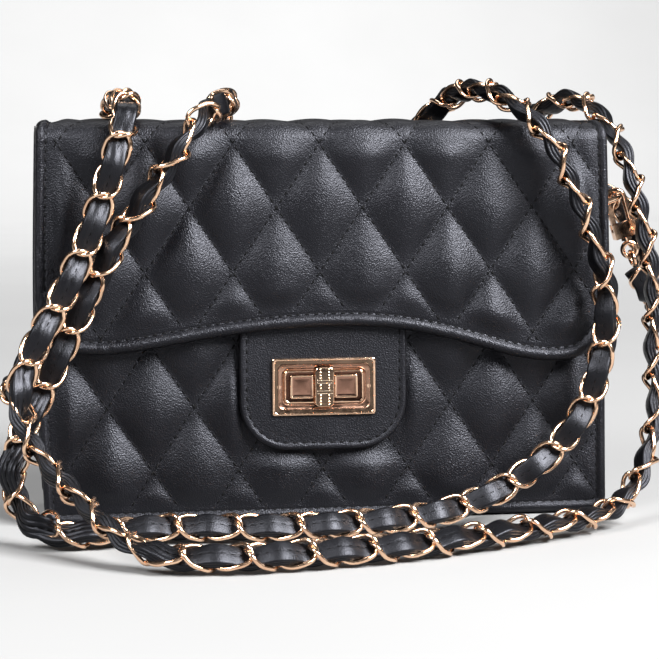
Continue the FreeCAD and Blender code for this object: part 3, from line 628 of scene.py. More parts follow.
def make_strip(name, start, end):
    """The leather strip, woven through the links from one arc length to another."""
    count = int((end - start) / 1.1)
    at = np.linspace(start, end, count)
    line, along, facing = strip_frame(at)
    across = np.cross(along, facing)
    swell = np.cos(math.pi * at / PITCH_TRUE) ** 2
    section = strip_section(STRIP_HALF_WIDE, STRIP_HALF_THICK)
    rings = []
    wobble = 0.12 * np.sin(at * 0.31 + 1.3) + 0.10 * np.sin(at * 0.83)
    rumple = stretch_share(at, 47, 53)
    plied = np.maximum(stretch_share(at, 54, 58), stretch_share(at, 14, 17))
    for i in range(count):
        wide = 0.98 + 0.075 * swell[i] + 0.02 * wobble[i] + 0.12 * plied[i]
        thick = 1.0 + 0.16 * swell[i] - 0.06 + 0.05 * wobble[i]
        u = section[:, 0:1]
        x = u * wide
        y = section[:, 1:2] * thick
        flat = np.abs(u) < 3.2
        fold = np.sin(u * 2.1 + 1.5 * np.sin(at[i] * 0.37 + 0.7))
        fold = fold * (0.015 + 0.10 * rumple[i]) * (0.65 + 0.35 * np.sin(at[i] * 0.71))
        pleat = sum(np.exp(-(((u - c) / 0.22) ** 2)) for c in (-1.74, 0.0, 1.74))
        y = y + np.sign(y) * flat * (fold - 0.75 * plied[i] * pleat)
        rings.append(line[i] + across[i] * x + facing[i] * y)
    sides = len(section)
    faces = tube_faces(count, sides, False) + ring_caps(count, sides)
    return make_object(name, np.concatenate(rings), faces, STRIP)


def make_strip_stitches(name, start, end):
    """A row of stitches along the middle of both smooth faces."""
    pitch, length = 2.9, 2.0
    bag = Parts()
    at = np.arange(start + 1.5, end - 3.5, pitch)
    line_a, _, facing_a = strip_frame(at)
    line_b, _, facing_b = strip_frame(at + length)
    swell = np.cos(math.pi * (at + length / 2) / PITCH_TRUE) ** 2
    thick = STRIP_HALF_THICK * (0.94 + 0.16 * swell) + 0.06
    for i in range(len(at)):
        for side in (1, -1):
            up = side * unit(facing_a[i] + facing_b[i])
            start_point = line_a[i] + side * facing_a[i] * thick[i]
            end_point = line_b[i] + side * facing_b[i] * thick[i]
            bag.add(*stitch(start_point, end_point, up, 0.21, 0.06))
    return bag.make(name, THREAD)


def node_points():
    at = np.arange(LINKS + 1) * PITCH_TRUE
    at[-1] = min(at[-1], WHOLE_LENGTH)
    place, _, facing = route_frame(at)
    sign = np.where(np.arange(LINKS + 1) % 2 == 0, -1.0, 1.0)
    return place + facing * (sign * ZIG)[:, None], facing


def make_links(name, nodes, facing, indices, seed):
    """Twisted oval wire links between neighbouring nodes, each through the next."""
    bag = Parts()
    local = np.random.default_rng(seed)
    rounds, sides = 30, 8
    t = 2 * math.pi * np.arange(rounds) / rounds
    for i in indices:
        start, end = nodes[i], nodes[i + 1]
        centre = (start + end) / 2
        x_axis = unit(end - start)
        up = unit(facing[i] + facing[i + 1])
        up = unit(up - x_axis * np.dot(up, x_axis))
        side = np.cross(up, x_axis)
        half = np.linalg.norm(end - start) / 2 + WIRE - 0.02
        lean = local.normal(0, 0.05)
        power = 0.86
        px = half * np.sign(np.cos(t)) * np.abs(np.cos(t)) ** power
        py = LINK_HALF_WIDE * np.sign(np.sin(t)) * np.abs(np.sin(t)) ** 0.9
        turn = 0.62 * np.sign(px) * np.abs(px / half) ** 2.2 + lean
        line = (
            centre
            + x_axis * px[:, None]
            + side * (py * np.cos(turn))[:, None]
            + up * (py * np.sin(turn))[:, None]
        )
        ahead = unit(np.roll(line, -1, 0) - np.roll(line, 1, 0))
        out = unit(line - centre - ahead * np.sum((line - centre) * ahead, axis=1, keepdims=True))
        third = np.cross(ahead, out)
        verts = []
        for k in range(rounds):
            for m in range(sides):
                a = 2 * math.pi * m / sides
                verts.append(line[k] + WIRE * (math.cos(a) * out[k] + math.sin(a) * third[k]))
        bag.add(verts, tube_faces(rounds, sides, True))
    return bag.make(name, CHAIN)


def blend_with_flap(obj):
    """The object's placement is baked into its points."""
    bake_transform(obj)


def make_strap():
    nodes, facing = node_points()
    first_main = int(math.ceil(MAIN_START / PITCH_TRUE))
    last_main = int(MAIN_END // PITCH_TRUE)
    main_links = []
    chunk = 34
    for n, low in enumerate(range(first_main, last_main, chunk)):
        indices = range(low, min(low + chunk, last_main))
        links = make_links(f"strap_links_{n + 1}", nodes, facing, indices, 11 + n)
        main_links.append(links)
    strip = make_strip("strap_leather", MAIN_START, MAIN_END)
    stitches = make_strip_stitches("strap_leather_stitches", MAIN_START, MAIN_END)
    for piece in [strip, stitches] + main_links:
        blend_with_flap(piece)
    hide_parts("strap")
    ends = (
        ("left", LEFT_LINE, 0.0, MAIN_START, range(0, first_main)),
        ("right", RIGHT_LINE[::-1], MAIN_END, WHOLE_LENGTH, range(last_main, LINKS)),
    )
    for name, line, low, high, indices in ends:
        strip = make_strip(f"{name}_strap_end_leather", low, high)
        stitches = make_strip_stitches(f"{name}_strap_end_stitches", low, high)
        links = make_links(f"{name}_strap_end_links", nodes, facing, indices, 31 + len(name))
        for piece in (strip, stitches, links):
            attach(piece, "root")
        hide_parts(f"{name}_strap_end")


make_strap()

# ---------------------------------------------------------------- quilted leather

BAG_HALF, HALF_DEPTH, BAG_TALL = 100.0, 27.0, 142.0
LEAN = 5.0 / 132.0
QUILT_X, QUILT_Z = 30.0, 44.5
QUILT_SHIFT = -3.0
STITCH_PITCH, STITCH_LENGTH = 3.1, 2.15
SEAM = 3.4
HEM_SEAM = 4.6
LINE_POINTS = 60


def warp_x(x, z):
    """The sides swell a little at mid height, and the foot leans out on the right."""
    x = np.asarray(x, float)
    swell = 0.013 * np.sin(np.pi * np.clip(z / BAG_TALL, 0, 1)) ** 1.2
    foot = (1 - np.clip(z / 75.0, 0, 1)) ** 1.5
    right = 1 + swell + 0.020 * foot
    left = 1 + swell - 0.014 * foot
    return np.where(x > 0, x * right, x * left)


def line_distance(x, s, line):
    """Distance from points to an open polyline, both in the sheet's own flat coordinates."""
    best = np.full(np.shape(x), 1e9)
    for (ax, ay), (bx, by) in zip(line[:-1], line[1:]):
        dx, dy = bx - ax, by - ay
        size = dx * dx + dy * dy
        if size < 1e-12:
            continue
        t = np.clip(((x - ax) * dx + (s - ay) * dy) / size, 0, 1)
        best = np.minimum(best, (x - ax - t * dx) ** 2 + (s - ay - t * dy) ** 2)
    return np.sqrt(best)


def edge_spacing(length, step, fine):
    """Places from 0 to length, close together near each end that has a rolled edge."""
    near = [0, 0.12, 0.35, 0.7, 1.15, 1.65, 2.15, 2.65, 3.05, 3.4, 3.75, 4.1, 4.4, 4.7, 5.2, 5.9]
    near = np.array(near)
    first = near if fine[0] else np.array([0.0])
    last = length - (near[::-1] if fine[1] else np.array([0.0]))
    count = max(2, int(round((last[0] - first[-1]) / step)))
    middle = np.linspace(first[-1], last[0], count + 1)[1:-1]
    return np.concatenate([first, middle, last])


def lip_profile(edge, thick, height, width=SEAM):
    """Height of a turned and rolled edge above the sheet's base, by distance from the edge."""
    u = edge / width
    places = [0, 0.03, 0.1, 0.2, 0.32, 0.47, 0.62, 0.76, 0.88, 1.0, 1.12, 1.3, 1.6]
    values = [-0.42 * thick, -0.2 * thick, 0.30, 0.62, 0.88, 1.0, 0.94, 0.70, 0.34]
    values += [-0.22, 0.0, 0.04, 0.0]
    scaled = [v * height if v > 0 or k > 8 else v for k, v in enumerate(values)]
    return np.interp(u, places, scaled)


def stitch_gap(distance):
    """0 on a line of stitching, rising to 1 at the crown between lines."""
    soft = np.sqrt(distance**2 + 0.16) - 0.4
    rise = np.clip(soft / 12.2, 0, 1)
    return 1 - (1 - rise) ** 2.05


def quilt_gaps(x, s, level, shift):
    """Distances from points to the nearest quilt line of either slant."""
    across, up = (x - shift) / QUILT_X, (level - s) / QUILT_Z
    spacing = 1 / math.hypot(1 / QUILT_X, 1 / QUILT_Z)
    return [np.abs(place - np.round(place)) * spacing for place in (across + up, across - up)]


def quilt_height(x, s, level, tall, shift=QUILT_SHIFT):
    """Pillow height of the diamonds; level is a height at which two lines cross at x = shift."""
    one, other = quilt_gaps(x, s, level, shift)
    puff = stitch_gap(one) * stitch_gap(other)
    lazy = 0.16 * np.sin(x * 0.071 + s * 0.043 + 0.6) + 0.12 * np.sin(x * 0.033 - s * 0.081)
    crumple = 0.05 * np.sin(x * 0.52 + 2.1 * np.sin(s * 0.21))
    crumple = crumple * np.sin(s * 0.47 + 1.3 * np.sin(x * 0.17))
    return tall * puff * (1 + lazy) + crumple * puff


class Sheet:
    """A leather sheet laid out flat in x and s, and carried to its place by a function."""

    def __init__(self, name, place, outline, thick):
        self.name, self.place = name, place
        self.border = np.asarray([*outline, outline[0]], float)
        self.thick = thick
        self.relief = None

    def build(self, x, s, relief, material, window=None):
        """x and s are grids. relief gives the outer height from x, s and the distance to the edge."""
        edge = line_distance(x, s, self.border)
        self.relief = relief
        height = relief(x, s, edge)
        point, normal = self.place(x, s)
        inner = -self.thick * (1 - 0.28 * np.exp(-((edge / 0.5) ** 2)))
        outer_points = point + normal * height[..., None]
        inner_points = point + normal * inner[..., None]
        rows, columns = x.shape
        count = rows * columns
        verts = np.concatenate([outer_points.reshape(-1, 3), inner_points.reshape(-1, 3)])
        index = np.arange(count).reshape(rows, columns)
        keep = np.ones((rows - 1, columns - 1), bool)
        if window is not None:
            mid_x = (x[:-1, :-1] + x[1:, 1:]) / 2
            mid_s = (s[:-1, :-1] + s[1:, 1:]) / 2
            keep = ~window(mid_x, mid_s)
        a, b = index[:-1, :-1][keep], index[:-1, 1:][keep]
        c, d = index[1:, 1:][keep], index[1:, :-1][keep]
        outer = np.stack([a, b, c, d], axis=1)
        inner_faces = outer[:, ::-1] + count
        edges = {}
        for quad in outer:
            for k in range(4):
                p, q = int(quad[k]), int(quad[(k + 1) % 4])
                if (q, p) in edges:
                    del edges[(q, p)]
                else:
                    edges[(p, q)] = True
        walls = [(q, p, p + count, q + count) for p, q in edges]
        faces = outer.tolist() + inner_faces.tolist() + walls
        normal_check = np.cross(
            outer_points[1, 0] - outer_points[0, 0], outer_points[0, 1] - outer_points[0, 0]
        )
        if np.dot(normal_check, normal[0, 0]) > 0:
            faces = [tuple(reversed(f)) for f in faces]
        used = np.zeros(len(verts), bool)
        used[np.unique(np.concatenate([np.asarray(f) for f in faces]))] = True
        renumber = np.cumsum(used) - 1
        faces = [[int(renumber[i]) for i in f] for f in faces]
        return make_object(self.name, verts[used], faces, material)

    def spot(self, x, s):
        """Points on the outer face and their normals."""
        x, s = np.atleast_1d(np.asarray(x, float)), np.atleast_1d(np.asarray(s, float))
        edge = line_distance(x, s, self.border)
        point, normal = self.place(x, s)
        return point + normal * self.relief(x, s, edge)[:, None], normal, edge

    def sew(self, bag, line, pitch=STITCH_PITCH, length=STITCH_LENGTH, margin=0.0, radius=0.27):
        """Stitches along a flat polyline, left out where the edge is nearer than a margin."""
        line = np.asarray(line, float)
        run = arc_lengths(np.c_[line, np.zeros(len(line))])
        at = np.arange(pitch * 0.3, run[-1] - length, pitch)
        if not len(at):
            return
        first = np.stack([np.interp(at, run, line[:, k]) for k in (0, 1)], 1)
        last = np.stack([np.interp(at + length, run, line[:, k]) for k in (0, 1)], 1)
        points_a, normal, edge = self.spot(first[:, 0], first[:, 1])
        points_b, _, edge_b = self.spot(last[:, 0], last[:, 1])
        for i in range(len(at)):
            if min(edge[i], edge_b[i]) < margin:
                continue
            bag.add(*stitch(points_a[i], points_b[i], normal[i], radius))


def quilt_lines(x_low, x_high, s_low, s_high, level, shift=QUILT_SHIFT):
    """The straight stitch lines of both slants that cross a rectangle."""
    lines = []
    slope = QUILT_Z / QUILT_X
    for sign in (1, -1):
        for k in range(-14, 15):
            x_at_level = shift + k * QUILT_X
            low = x_at_level + sign * (s_low - level) / slope
            high = x_at_level + sign * (s_high - level) / slope
            if max(low, high) < x_low or min(low, high) > x_high:
                continue
            s = np.linspace(s_low, s_high, LINE_POINTS)
            x = np.linspace(low, high, LINE_POINTS)
            ok = (x >= x_low) & (x <= x_high)
            if ok.sum() > 2:
                lines.append(np.stack([x[ok], s[ok]], axis=1))
    return lines


def smooth_through(points, count):
    """A smooth curve through points: a natural cubic spline by chord length."""
    points = np.asarray(points, float)
    knots = np.concatenate([[0], np.cumsum(np.linalg.norm(np.diff(points, axis=0), axis=1))])
    n = len(points)
    gaps = np.diff(knots)
    matrix = np.zeros((n, n))
    matrix[0, 0] = matrix[-1, -1] = 1
    target = np.zeros((n, 2))
    for i in range(1, n - 1):
        matrix[i, i - 1], matrix[i, i + 1] = gaps[i - 1], gaps[i]
        matrix[i, i] = 2 * (gaps[i - 1] + gaps[i])
        target[i] = 6 * (
            (points[i + 1] - points[i]) / gaps[i] - (points[i] - points[i - 1]) / gaps[i - 1]
        )
    second = np.linalg.solve(matrix, target)
    at = np.linspace(0, knots[-1], count)
    which = np.clip(np.searchsorted(knots, at, side="right") - 1, 0, n - 2)
    h = gaps[which][:, None]
    a = ((knots[which + 1] - at) / gaps[which])[:, None]
    b = 1 - a
    return (
        a * points[which]
        + b * points[which + 1]
        + ((a**3 - a) * second[which] + (b**3 - b) * second[which + 1]) * h**2 / 6
    )


def front_y(z, out):
    """The front's depth at a height, so far out from the body's own surface."""
    return -HALF_DEPTH + LEAN * z - out


def leaning_normal(x, outward):
    """The normal of the front (-1) or of the back (1), once for every point of a grid."""
    slope = math.hypot(1, LEAN)
    return np.broadcast_to(np.array([0, outward / slope, LEAN / slope]), x.shape + (3,))


# ---- The flap: up the front from its wavy edge, over the mouth, and down to its seam on the back.

HEM = [
    (-100, 80),
    (-97, 69),
    (-90, 62.5),
    (-78, 60.6),
    (-52, 63.9),
    (-28, 67.4),
    (0, 69.3),
    (25, 67.9),
    (50, 62.2),
    (78, 56),
    (91, 58.5),
    (97.5, 66),
    (100, 78),
]
# The hem's usual height, and how far above it the sheet's rows keep to the hem's own curve.
HEM_LEVEL, HEM_BAND = 62.0, 6.0
FLAP_OUT = 5.5
FLAP_TOP = 140.0
FLAP_THICK = 1.75
FLAP_FRONT_RADIUS = 6.5
FLAP_BACK_RADIUS = 6.0
FLAP_SEAM_Z = 118.0
FLAP_LEVEL = 133.0


def flap_path():
    """Side view of the flap's base as points in y and z, with s measured along it from z = 50."""
    points = []
    turn_z = FLAP_TOP - FLAP_FRONT_RADIUS
    for z in np.arange(50.0, turn_z, 0.5):
        points.append((front_y(z, FLAP_OUT), z))
    centre_y = front_y(turn_z, FLAP_OUT) + FLAP_FRONT_RADIUS
    for a in np.linspace(0, math.pi / 2, 24):
        points.append(
            (centre_y - FLAP_FRONT_RADIUS * math.cos(a), turn_z + FLAP_FRONT_RADIUS * math.sin(a))
        )
    back_z = FLAP_TOP - FLAP_BACK_RADIUS
    back_y = HALF_DEPTH - LEAN * back_z + 1.0
    back_centre = back_y - FLAP_BACK_RADIUS
    for y in np.arange(centre_y + 0.5, back_centre, 0.5):
        points.append((y, FLAP_TOP))
    for a in np.linspace(0, math.pi / 2, 22):
        points.append(
            (back_centre + FLAP_BACK_RADIUS * math.sin(a), back_z + FLAP_BACK_RADIUS * math.cos(a))
        )
    for z in np.arange(back_z - 0.5, FLAP_SEAM_Z - 0.1, -0.5):
        points.append((HALF_DEPTH - LEAN * z + 1.0, z))
    points = np.array(points)
    s = 50.0 + arc_lengths(np.c_[points, np.zeros(len(points))])
    return points, s


FLAP_YZ, FLAP_S = flap_path()
FLAP_END = FLAP_S[-1]


def place_flap(x, s):
    y = np.interp(s, FLAP_S, FLAP_YZ[:, 0])
    z = np.interp(s, FLAP_S, FLAP_YZ[:, 1])
    step = 0.6
    dy = np.interp(s + step, FLAP_S, FLAP_YZ[:, 0]) - np.interp(s - step, FLAP_S, FLAP_YZ[:, 0])
    dz = np.interp(s + step, FLAP_S, FLAP_YZ[:, 1]) - np.interp(s - step, FLAP_S, FLAP_YZ[:, 1])
    normal = unit(np.stack([np.zeros_like(dy), -dz, dy], axis=-1))
    crest = np.clip((z - 136.4) / 3.6, 0, 1)
    pull = 1.7 * (1 - np.sqrt(1 - crest**2)) / BAG_HALF
    return np.stack([warp_x(x, z) * (1 - pull), y, z], axis=-1), normal


def roll_creases(x, s, share):
    """Where a quilt line meets the rolled edge it leaves a small notch in the roll."""
    gap = np.minimum(*quilt_gaps(x, s, FLAP_LEVEL, QUILT_SHIFT))
    on_roll = smoothstep(share / 0.3) * smoothstep((1.15 - share) / 0.3)
    return -0.22 * np.exp(-((gap / 0.7) ** 2)) * on_roll


def make_flap():
    hem = smooth_through(HEM, 90)
    hem[:, 0] = np.clip(hem[:, 0], -BAG_HALF, BAG_HALF)
    hem_x = np.maximum.accumulate(hem[:, 0] + np.arange(len(hem)) * 1e-6)
    outline = [(-BAG_HALF, FLAP_END)] + hem.tolist() + [(BAG_HALF, FLAP_END)]
    sheet = Sheet("flap_leather", place_flap, outline, FLAP_THICK)
    columns = -BAG_HALF + edge_spacing(2 * BAG_HALF, 0.9, (True, True))
    hem_s = np.interp(columns, hem_x, hem[:, 1])
    reference = edge_spacing(FLAP_END - HEM_LEVEL, 0.9, (True, True))
    share = reference / reference[-1]
    x = np.tile(columns, (len(share), 1))
    lead = np.minimum(reference, HEM_BAND)[:, None]
    room = (FLAP_END - hem_s)[None, :] - HEM_BAND
    rest = np.maximum(reference - HEM_BAND, 0)[:, None] / (reference[-1] - HEM_BAND)
    s = hem_s[None, :] + lead + rest * room
    s[0], s[-1] = hem_s, FLAP_END

    def relief(x, s, edge):
        hem_gap = line_distance(x, s, hem)
        share = np.minimum(edge / SEAM, hem_gap / HEM_SEAM)
        fade = smoothstep((share - 1) / 2.0) * (1 - 0.6 * smoothstep((s - 127) / 10))
        near_hem = smoothstep(1.6 - hem_gap / HEM_SEAM)
        low_lip = lip_profile(share * SEAM, FLAP_THICK, 0.95)
        lip = low_lip + near_hem * (lip_profile(share * SEAM, FLAP_THICK, 1.4) - low_lip)
        return lip + quilt_height(x, s, FLAP_LEVEL, 3.2) * fade + roll_creases(x, s, share)

    leather = sheet.build(x, s, relief, QUILTED)
    bag = Parts()
    for line in quilt_lines(-BAG_HALF, BAG_HALF, 52, FLAP_END, FLAP_LEVEL):
        above = line[:, 1] > np.interp(line[:, 0], hem_x, hem[:, 1])
        sheet.sew(bag, line[above], margin=HEM_SEAM + 0.4)
    inward = hem + HEM_SEAM * np.stack(
        [-np.gradient(hem[:, 1]), np.gradient(hem[:, 0])], axis=1
    ) / np.linalg.norm(np.gradient(hem, axis=0), axis=1, keepdims=True)
    inside = inward[(np.abs(inward[:, 0]) < BAG_HALF - SEAM)]
    side = BAG_HALF - SEAM
    left = np.array([(-side, FLAP_END - SEAM), (-side, inside[0, 1])])
    right = np.array([(side, inside[-1, 1]), (side, FLAP_END - SEAM)])
    seam = np.concatenate([left, inside, right])
    sheet.sew(bag, seam, pitch=3.1, length=2.1, radius=0.32)
    sheet.sew(bag, [(side, FLAP_END - SEAM), (-side, FLAP_END - SEAM)])
    stitches = bag.make("flap_stitches", THREAD)
    for piece in (leather, stitches):
        blend_with_flap(piece)
    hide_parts("flap", "flap_binding")


# ---- The body: front, back, the two tucked ends and the base.

PANEL_TOP = 131.6
PANEL_FOOT = 1.2
PANEL_SINK = 1.25
PANEL_CORNER = 5.0
PANEL_THICK = 1.6
GUSSET_HALF, TUCK = 30.0, 8.3


def rounded_rectangle(low, high, radius_low, radius_high, steps=10):
    (x0, s0), (x1, s1) = low, high
    corners = [
        (x0, s0, radius_low, 180),
        (x1, s0, radius_low, 270),
        (x1, s1, radius_high, 0),
        (x0, s1, radius_high, 90),
    ]
    points = []
    for x, s, r, start in corners:
        cx = x + r if x == x0 else x - r
        cs = s + r if s == s0 else s - r
        for k in range(steps + 1):
            a = math.radians(start + 90 * k / steps)
            points.append((cx + r * math.cos(a), cs + r * math.sin(a)))
    return points


def rounded_grid(low, high, radius_low, radius_high, step):
    """A grid over a rectangle whose corners are drawn in to their radii."""
    (x0, s0), (x1, s1) = low, high
    xs = x0 + edge_spacing(x1 - x0, step, (True, True))
    ss = s0 + edge_spacing(s1 - s0, step, (True, True))
    x, s = np.meshgrid(xs, ss)
    middle = (x0 + x1) / 2
    for level, radius in ((s0, radius_low), (s1, radius_high)):
        if radius <= 0:
            continue
        near = np.abs(s - level)
        arc = np.sqrt(np.maximum(radius**2 - (radius - near) ** 2, 0))
        pull = np.where(near < radius, radius - arc, 0)
        half = (x1 - x0) / 2
        x = middle + (x - middle) * (half - pull) / half
    return x, s


def press_lock(x, s):
    """The padding is pressed flat behind the lock and its tab."""
    wide = smoothstep((np.abs(x + 1.5) - 27.0) / 6.0)
    tall = smoothstep((26.0 - s) / 7.0)
    return np.maximum(wide, tall)


def place_front(x, z):
    y = front_y(z, -PANEL_SINK)
    return np.stack([warp_x(x, z), y, z], axis=-1), leaning_normal(x, -1)


def place_back(x, z):
    belly = 1.6 * np.cos(np.pi * x / 2 / BAG_HALF) * np.sin(np.pi * np.clip(z / 132, 0, 1))
    y = -front_y(z, -PANEL_SINK) + belly
    return np.stack([warp_x(x, z), y, z], axis=-1), leaning_normal(x, 1)


def make_panel(name, node, place, tall, press, level, shift):
    low, high = (-BAG_HALF, PANEL_FOOT), (BAG_HALF, PANEL_TOP)
    outline = rounded_rectangle(low, high, PANEL_CORNER, 1.5)
    sheet = Sheet(f"{name}_leather", place, outline, PANEL_THICK)
    x, s = rounded_grid(low, high, PANEL_CORNER, 1.5, 0.9)

    def relief(x, s, edge):
        fade = smoothstep((edge - SEAM) / 7.5)
        pillow = quilt_height(x, s, level, tall, shift)
        if press:
            pillow = pillow * (0.34 + 0.66 * press_lock(x, s))
        return lip_profile(edge, PANEL_THICK, 0.85) + pillow * fade

    leather = sheet.build(x, s, relief, QUILTED)
    bag = Parts()
    for line in quilt_lines(-BAG_HALF, BAG_HALF, PANEL_FOOT, PANEL_TOP, level, shift):
        sheet.sew(bag, line, margin=SEAM + 0.9)
    seam = rounded_rectangle(
        (low[0] + SEAM, low[1] + SEAM), (high[0] - SEAM, high[1] - SEAM), PANEL_CORNER - 2, 1.0
    )
    sheet.sew(bag, seam + seam[:1])
    stitches = bag.make(f"{name}_stitches", THREAD)
    settle((leather, stitches), "root")
    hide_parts(node)


def gusset_half(z):
    return HALF_DEPTH - LEAN * z - PANEL_THICK


def tuck_depth(z):
    """How far an end wall is tucked in along its middle: less towards the foot."""
    return TUCK * (0.35 + 0.65 * smoothstep((z - 4) / 34.0))


def make_gusset(side, name):
    """A folded end wall: tucked in along its middle, flaring out towards the foot."""

    def place(t, z):
        share = np.abs(t) / GUSSET_HALF
        tuck = tuck_depth(z) * (1 - share**1.7)
        ripple = 0.35 * np.sin(z * 0.16 + t * 0.1) * (1 - share) * smoothstep(z / 60)
        base = np.abs(warp_x(np.full_like(z, side * 98.4), z))
        x = base - tuck + ripple
        y = t / GUSSET_HALF * gusset_half(z)
        point = np.stack([side * x, y, z], axis=-1)
        slope = tuck_depth(z) * 1.7 * share**0.7 / gusset_half(z)
        normal = np.stack([side * np.ones_like(z), -np.sign(t) * slope, np.zeros_like(z)], axis=-1)
        return point, unit(normal)

    low, high = (-GUSSET_HALF, 1.4), (GUSSET_HALF, 131.0)
    outline = rounded_rectangle(low, high, 1.0, 1.0)
    sheet = Sheet(f"{name}_gusset_leather", place, outline, 1.3)
    x, s = rounded_grid(low, high, 1.0, 1.0, 1.3)

    def relief(x, s, edge):
        crease = 0.5 * np.exp(-((x / 1.1) ** 2)) * smoothstep((s - 18) / 20)
        return lip_profile(edge, 1.3, 0.6) - crease

    leather = sheet.build(x, s, relief, SMOOTH)
    bag = Parts()
    side_seam, top_seam = high[0] - SEAM, high[1] - SEAM
    for edge_x in (-side_seam, side_seam):
        sheet.sew(bag, [(edge_x, 4), (edge_x, 128)])
    sheet.sew(bag, [(-side_seam, top_seam), (side_seam, top_seam)])
    stitches = bag.make(f"{name}_gusset_stitches", THREAD)
    settle((leather, stitches), "root")
    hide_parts(f"{name}_gusset")


def make_base():
    def place(x, t):
        z = 0.95 - 0.55 * np.cos(np.pi * x / 2 / 100) * np.cos(np.pi * t / 52)
        point = np.stack([warp_x(x, np.zeros_like(x)), t, z], axis=-1)
        return point, np.broadcast_to(np.array([0.0, 0.0, -1.0]), x.shape + (3,))

    low, high = (-98.8, -25.6), (98.8, 25.6)
    sheet = Sheet("base_leather", place, rounded_rectangle(low, high, 4, 4), PANEL_THICK)
    x, s = rounded_grid(low, high, 4, 4, 1.6)

    def relief(x, s, edge):
        return lip_profile(edge, PANEL_THICK, 0.3)

    leather = sheet.build(x, s, relief, SMOOTH)
    settle([leather], "root")
    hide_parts("base_panel")


TAB_OUT = 2.55
TAB_LOW, TAB_HIGH = 26.0, 78.0
TAB_LEFT, TAB_RIGHT = -31.0, 28.0
TAB_RADIUS = 17.0
LOCK_X, LOCK_Z = -1.5, 48.0


def make_tab():
    def place(x, z):
        return np.stack([x, front_y(z, TAB_OUT), z], axis=-1), leaning_normal(x, -1)

    low, high = (TAB_LEFT, TAB_LOW), (TAB_RIGHT, TAB_HIGH)
    outline = rounded_rectangle(low, high, TAB_RADIUS, 1.0)
    sheet = Sheet("tab_leather", place, outline, 1.9)
    window = (LOCK_X - 14.2, LOCK_X + 14.2, LOCK_Z - 9.8, LOCK_Z + 8.2)
    x, s = rounded_grid(low, high, TAB_RADIUS, 1.0, 0.8)

    def relief(x, s, edge):
        dish = 0.12 * np.sin(x * 0.09 + 0.4) * np.sin(s * 0.12)
        return lip_profile(edge, 1.9, 0.42, 2.4) + dish * smoothstep((edge - 3) / 6)

    def opening(x, s):
        return (x > window[0]) & (x < window[1]) & (s > window[2]) & (s < window[3])

    leather = sheet.build(x, s, relief, SMOOTH, window=opening)
    inset = 2.45
    seam = rounded_rectangle(
        (low[0] + inset, low[1] + inset), (high[0] - inset, high[1] - 1), TAB_RADIUS - inset, 1.0, 14
    )
    half = len(seam) // 2
    path = [(low[0] + inset, 76)] + seam[:half] + [(high[0] - inset, 76)]
    bag = Parts()
    sheet.sew(bag, path, pitch=3.3, length=2.2, radius=0.31)
    stitches = bag.make("tab_stitches", THREAD)
    settle((leather, stitches), "flap")
    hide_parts("lock_tab")


make_flap()
make_panel("front", "front_panel", place_front, 3.0, True, 19.0, -1.4)
make_panel("back", "back_panel", place_back, 3.2, False, 21.0, QUILT_SHIFT)
make_gusset(-1, "left")
make_gusset(1, "right")
make_base()
make_tab()

# ---------------------------------------------------------------- what keeps its CAD shape

CAD_LOOKS = {
    "flap_lining": LINING,
    "lining": LINING,
    "inner_pocket": LINING,
    "base_board": BOARD,
    "lock_base_plate": GOLD,
    "lock_backing_plate": STEEL,
    "lock_rivets": GOLD,
    "frame_back_plate": STEEL,
    "frame_screws": GOLD,
    "turn_shaft": GOLD,
}
for side in ("left", "right"):
    CAD_LOOKS[f"{side}_ring_tab"] = SMOOTH
    for part in ("ring", "hook", "gate", "gate_pin", "swivel", "end_link"):
        CAD_LOOKS[f"{side}_{part}"] = GOLD


def dress(node, material):
    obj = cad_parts[node]
    if not obj.material_slots:
        obj.data.materials.append(material)
    for slot in obj.material_slots:
        slot.link = "OBJECT"
        slot.material = material


for node, material in CAD_LOOKS.items():
    dress(node, material)

# ---------------------------------------------------------------- the lock

LOCK_NORM = math.hypot(1, LEAN)
LOCK_AT = np.array([LOCK_X, front_y(LOCK_Z, 0), LOCK_Z])
LOCK_UP = np.array([0, LEAN, 1]) / LOCK_NORM
LOCK_OUT = np.array([0, -1, LEAN]) / LOCK_NORM
SLOT_HALF = (3.55, 7.2)
SHARP = math.radians(38)


def lock_point(x, up, out):
    """Points of the lock from its own across, up and out distances."""
    x, up, out = np.broadcast_arrays(x, up, out)
    base = LOCK_AT + x[..., None] * np.array([1.0, 0, 0])
    return base + up[..., None] * LOCK_UP + out[..., None] * LOCK_OUT


def inset_loop(centre, half, radius, inset, steps=8):
    """A rounded rectangle drawn in by a distance, always with the same number of points."""
    hx, hz = half[0] - inset, half[1] - inset
    r = max(radius(inset) if callable(radius) else radius - inset, 0.12)
    points = []
    for sx, sz, start in ((1, 1, 0), (-1, 1, 90), (-1, -1, 180), (1, -1, 270)):
        for k in range(steps + 1):
            a = math.radians(start + 90 * k / steps)
            points.append((sx * (hx - r) + r * math.cos(a), sz * (hz - r) + r * math.sin(a)))
    return np.array(points) + np.array(centre)


def loft(centre, half, radius, profile, steps=8):
    """Loops stacked by a profile of inset and height, closed with a cap at each end."""
    rings = []
    for inset, out in profile:
        loop = inset_loop(centre, half, radius, inset, steps)
        rings.append(lock_point(loop[:, 0], loop[:, 1], np.full(len(loop), out)))
    sides = len(rings[0])
    faces = tube_faces(len(rings), sides, False)
    zones = [i // sides for i in range(len(faces))]
    faces += ring_caps(len(rings), sides)
    zones += [-1, len(rings) - 1]
    return np.concatenate(rings), faces, zones


def tidy_normals(obj):
    """All faces turned outward, and edges sharper than SHARP kept crisp."""
    work = bmesh.new()
    work.from_mesh(obj.data)
    bmesh.ops.recalc_face_normals(work, faces=work.faces)
    work.to_mesh(obj.data)
    work.free()
    obj.data.update()
    obj.data.set_sharp_from_angle(angle=SHARP)


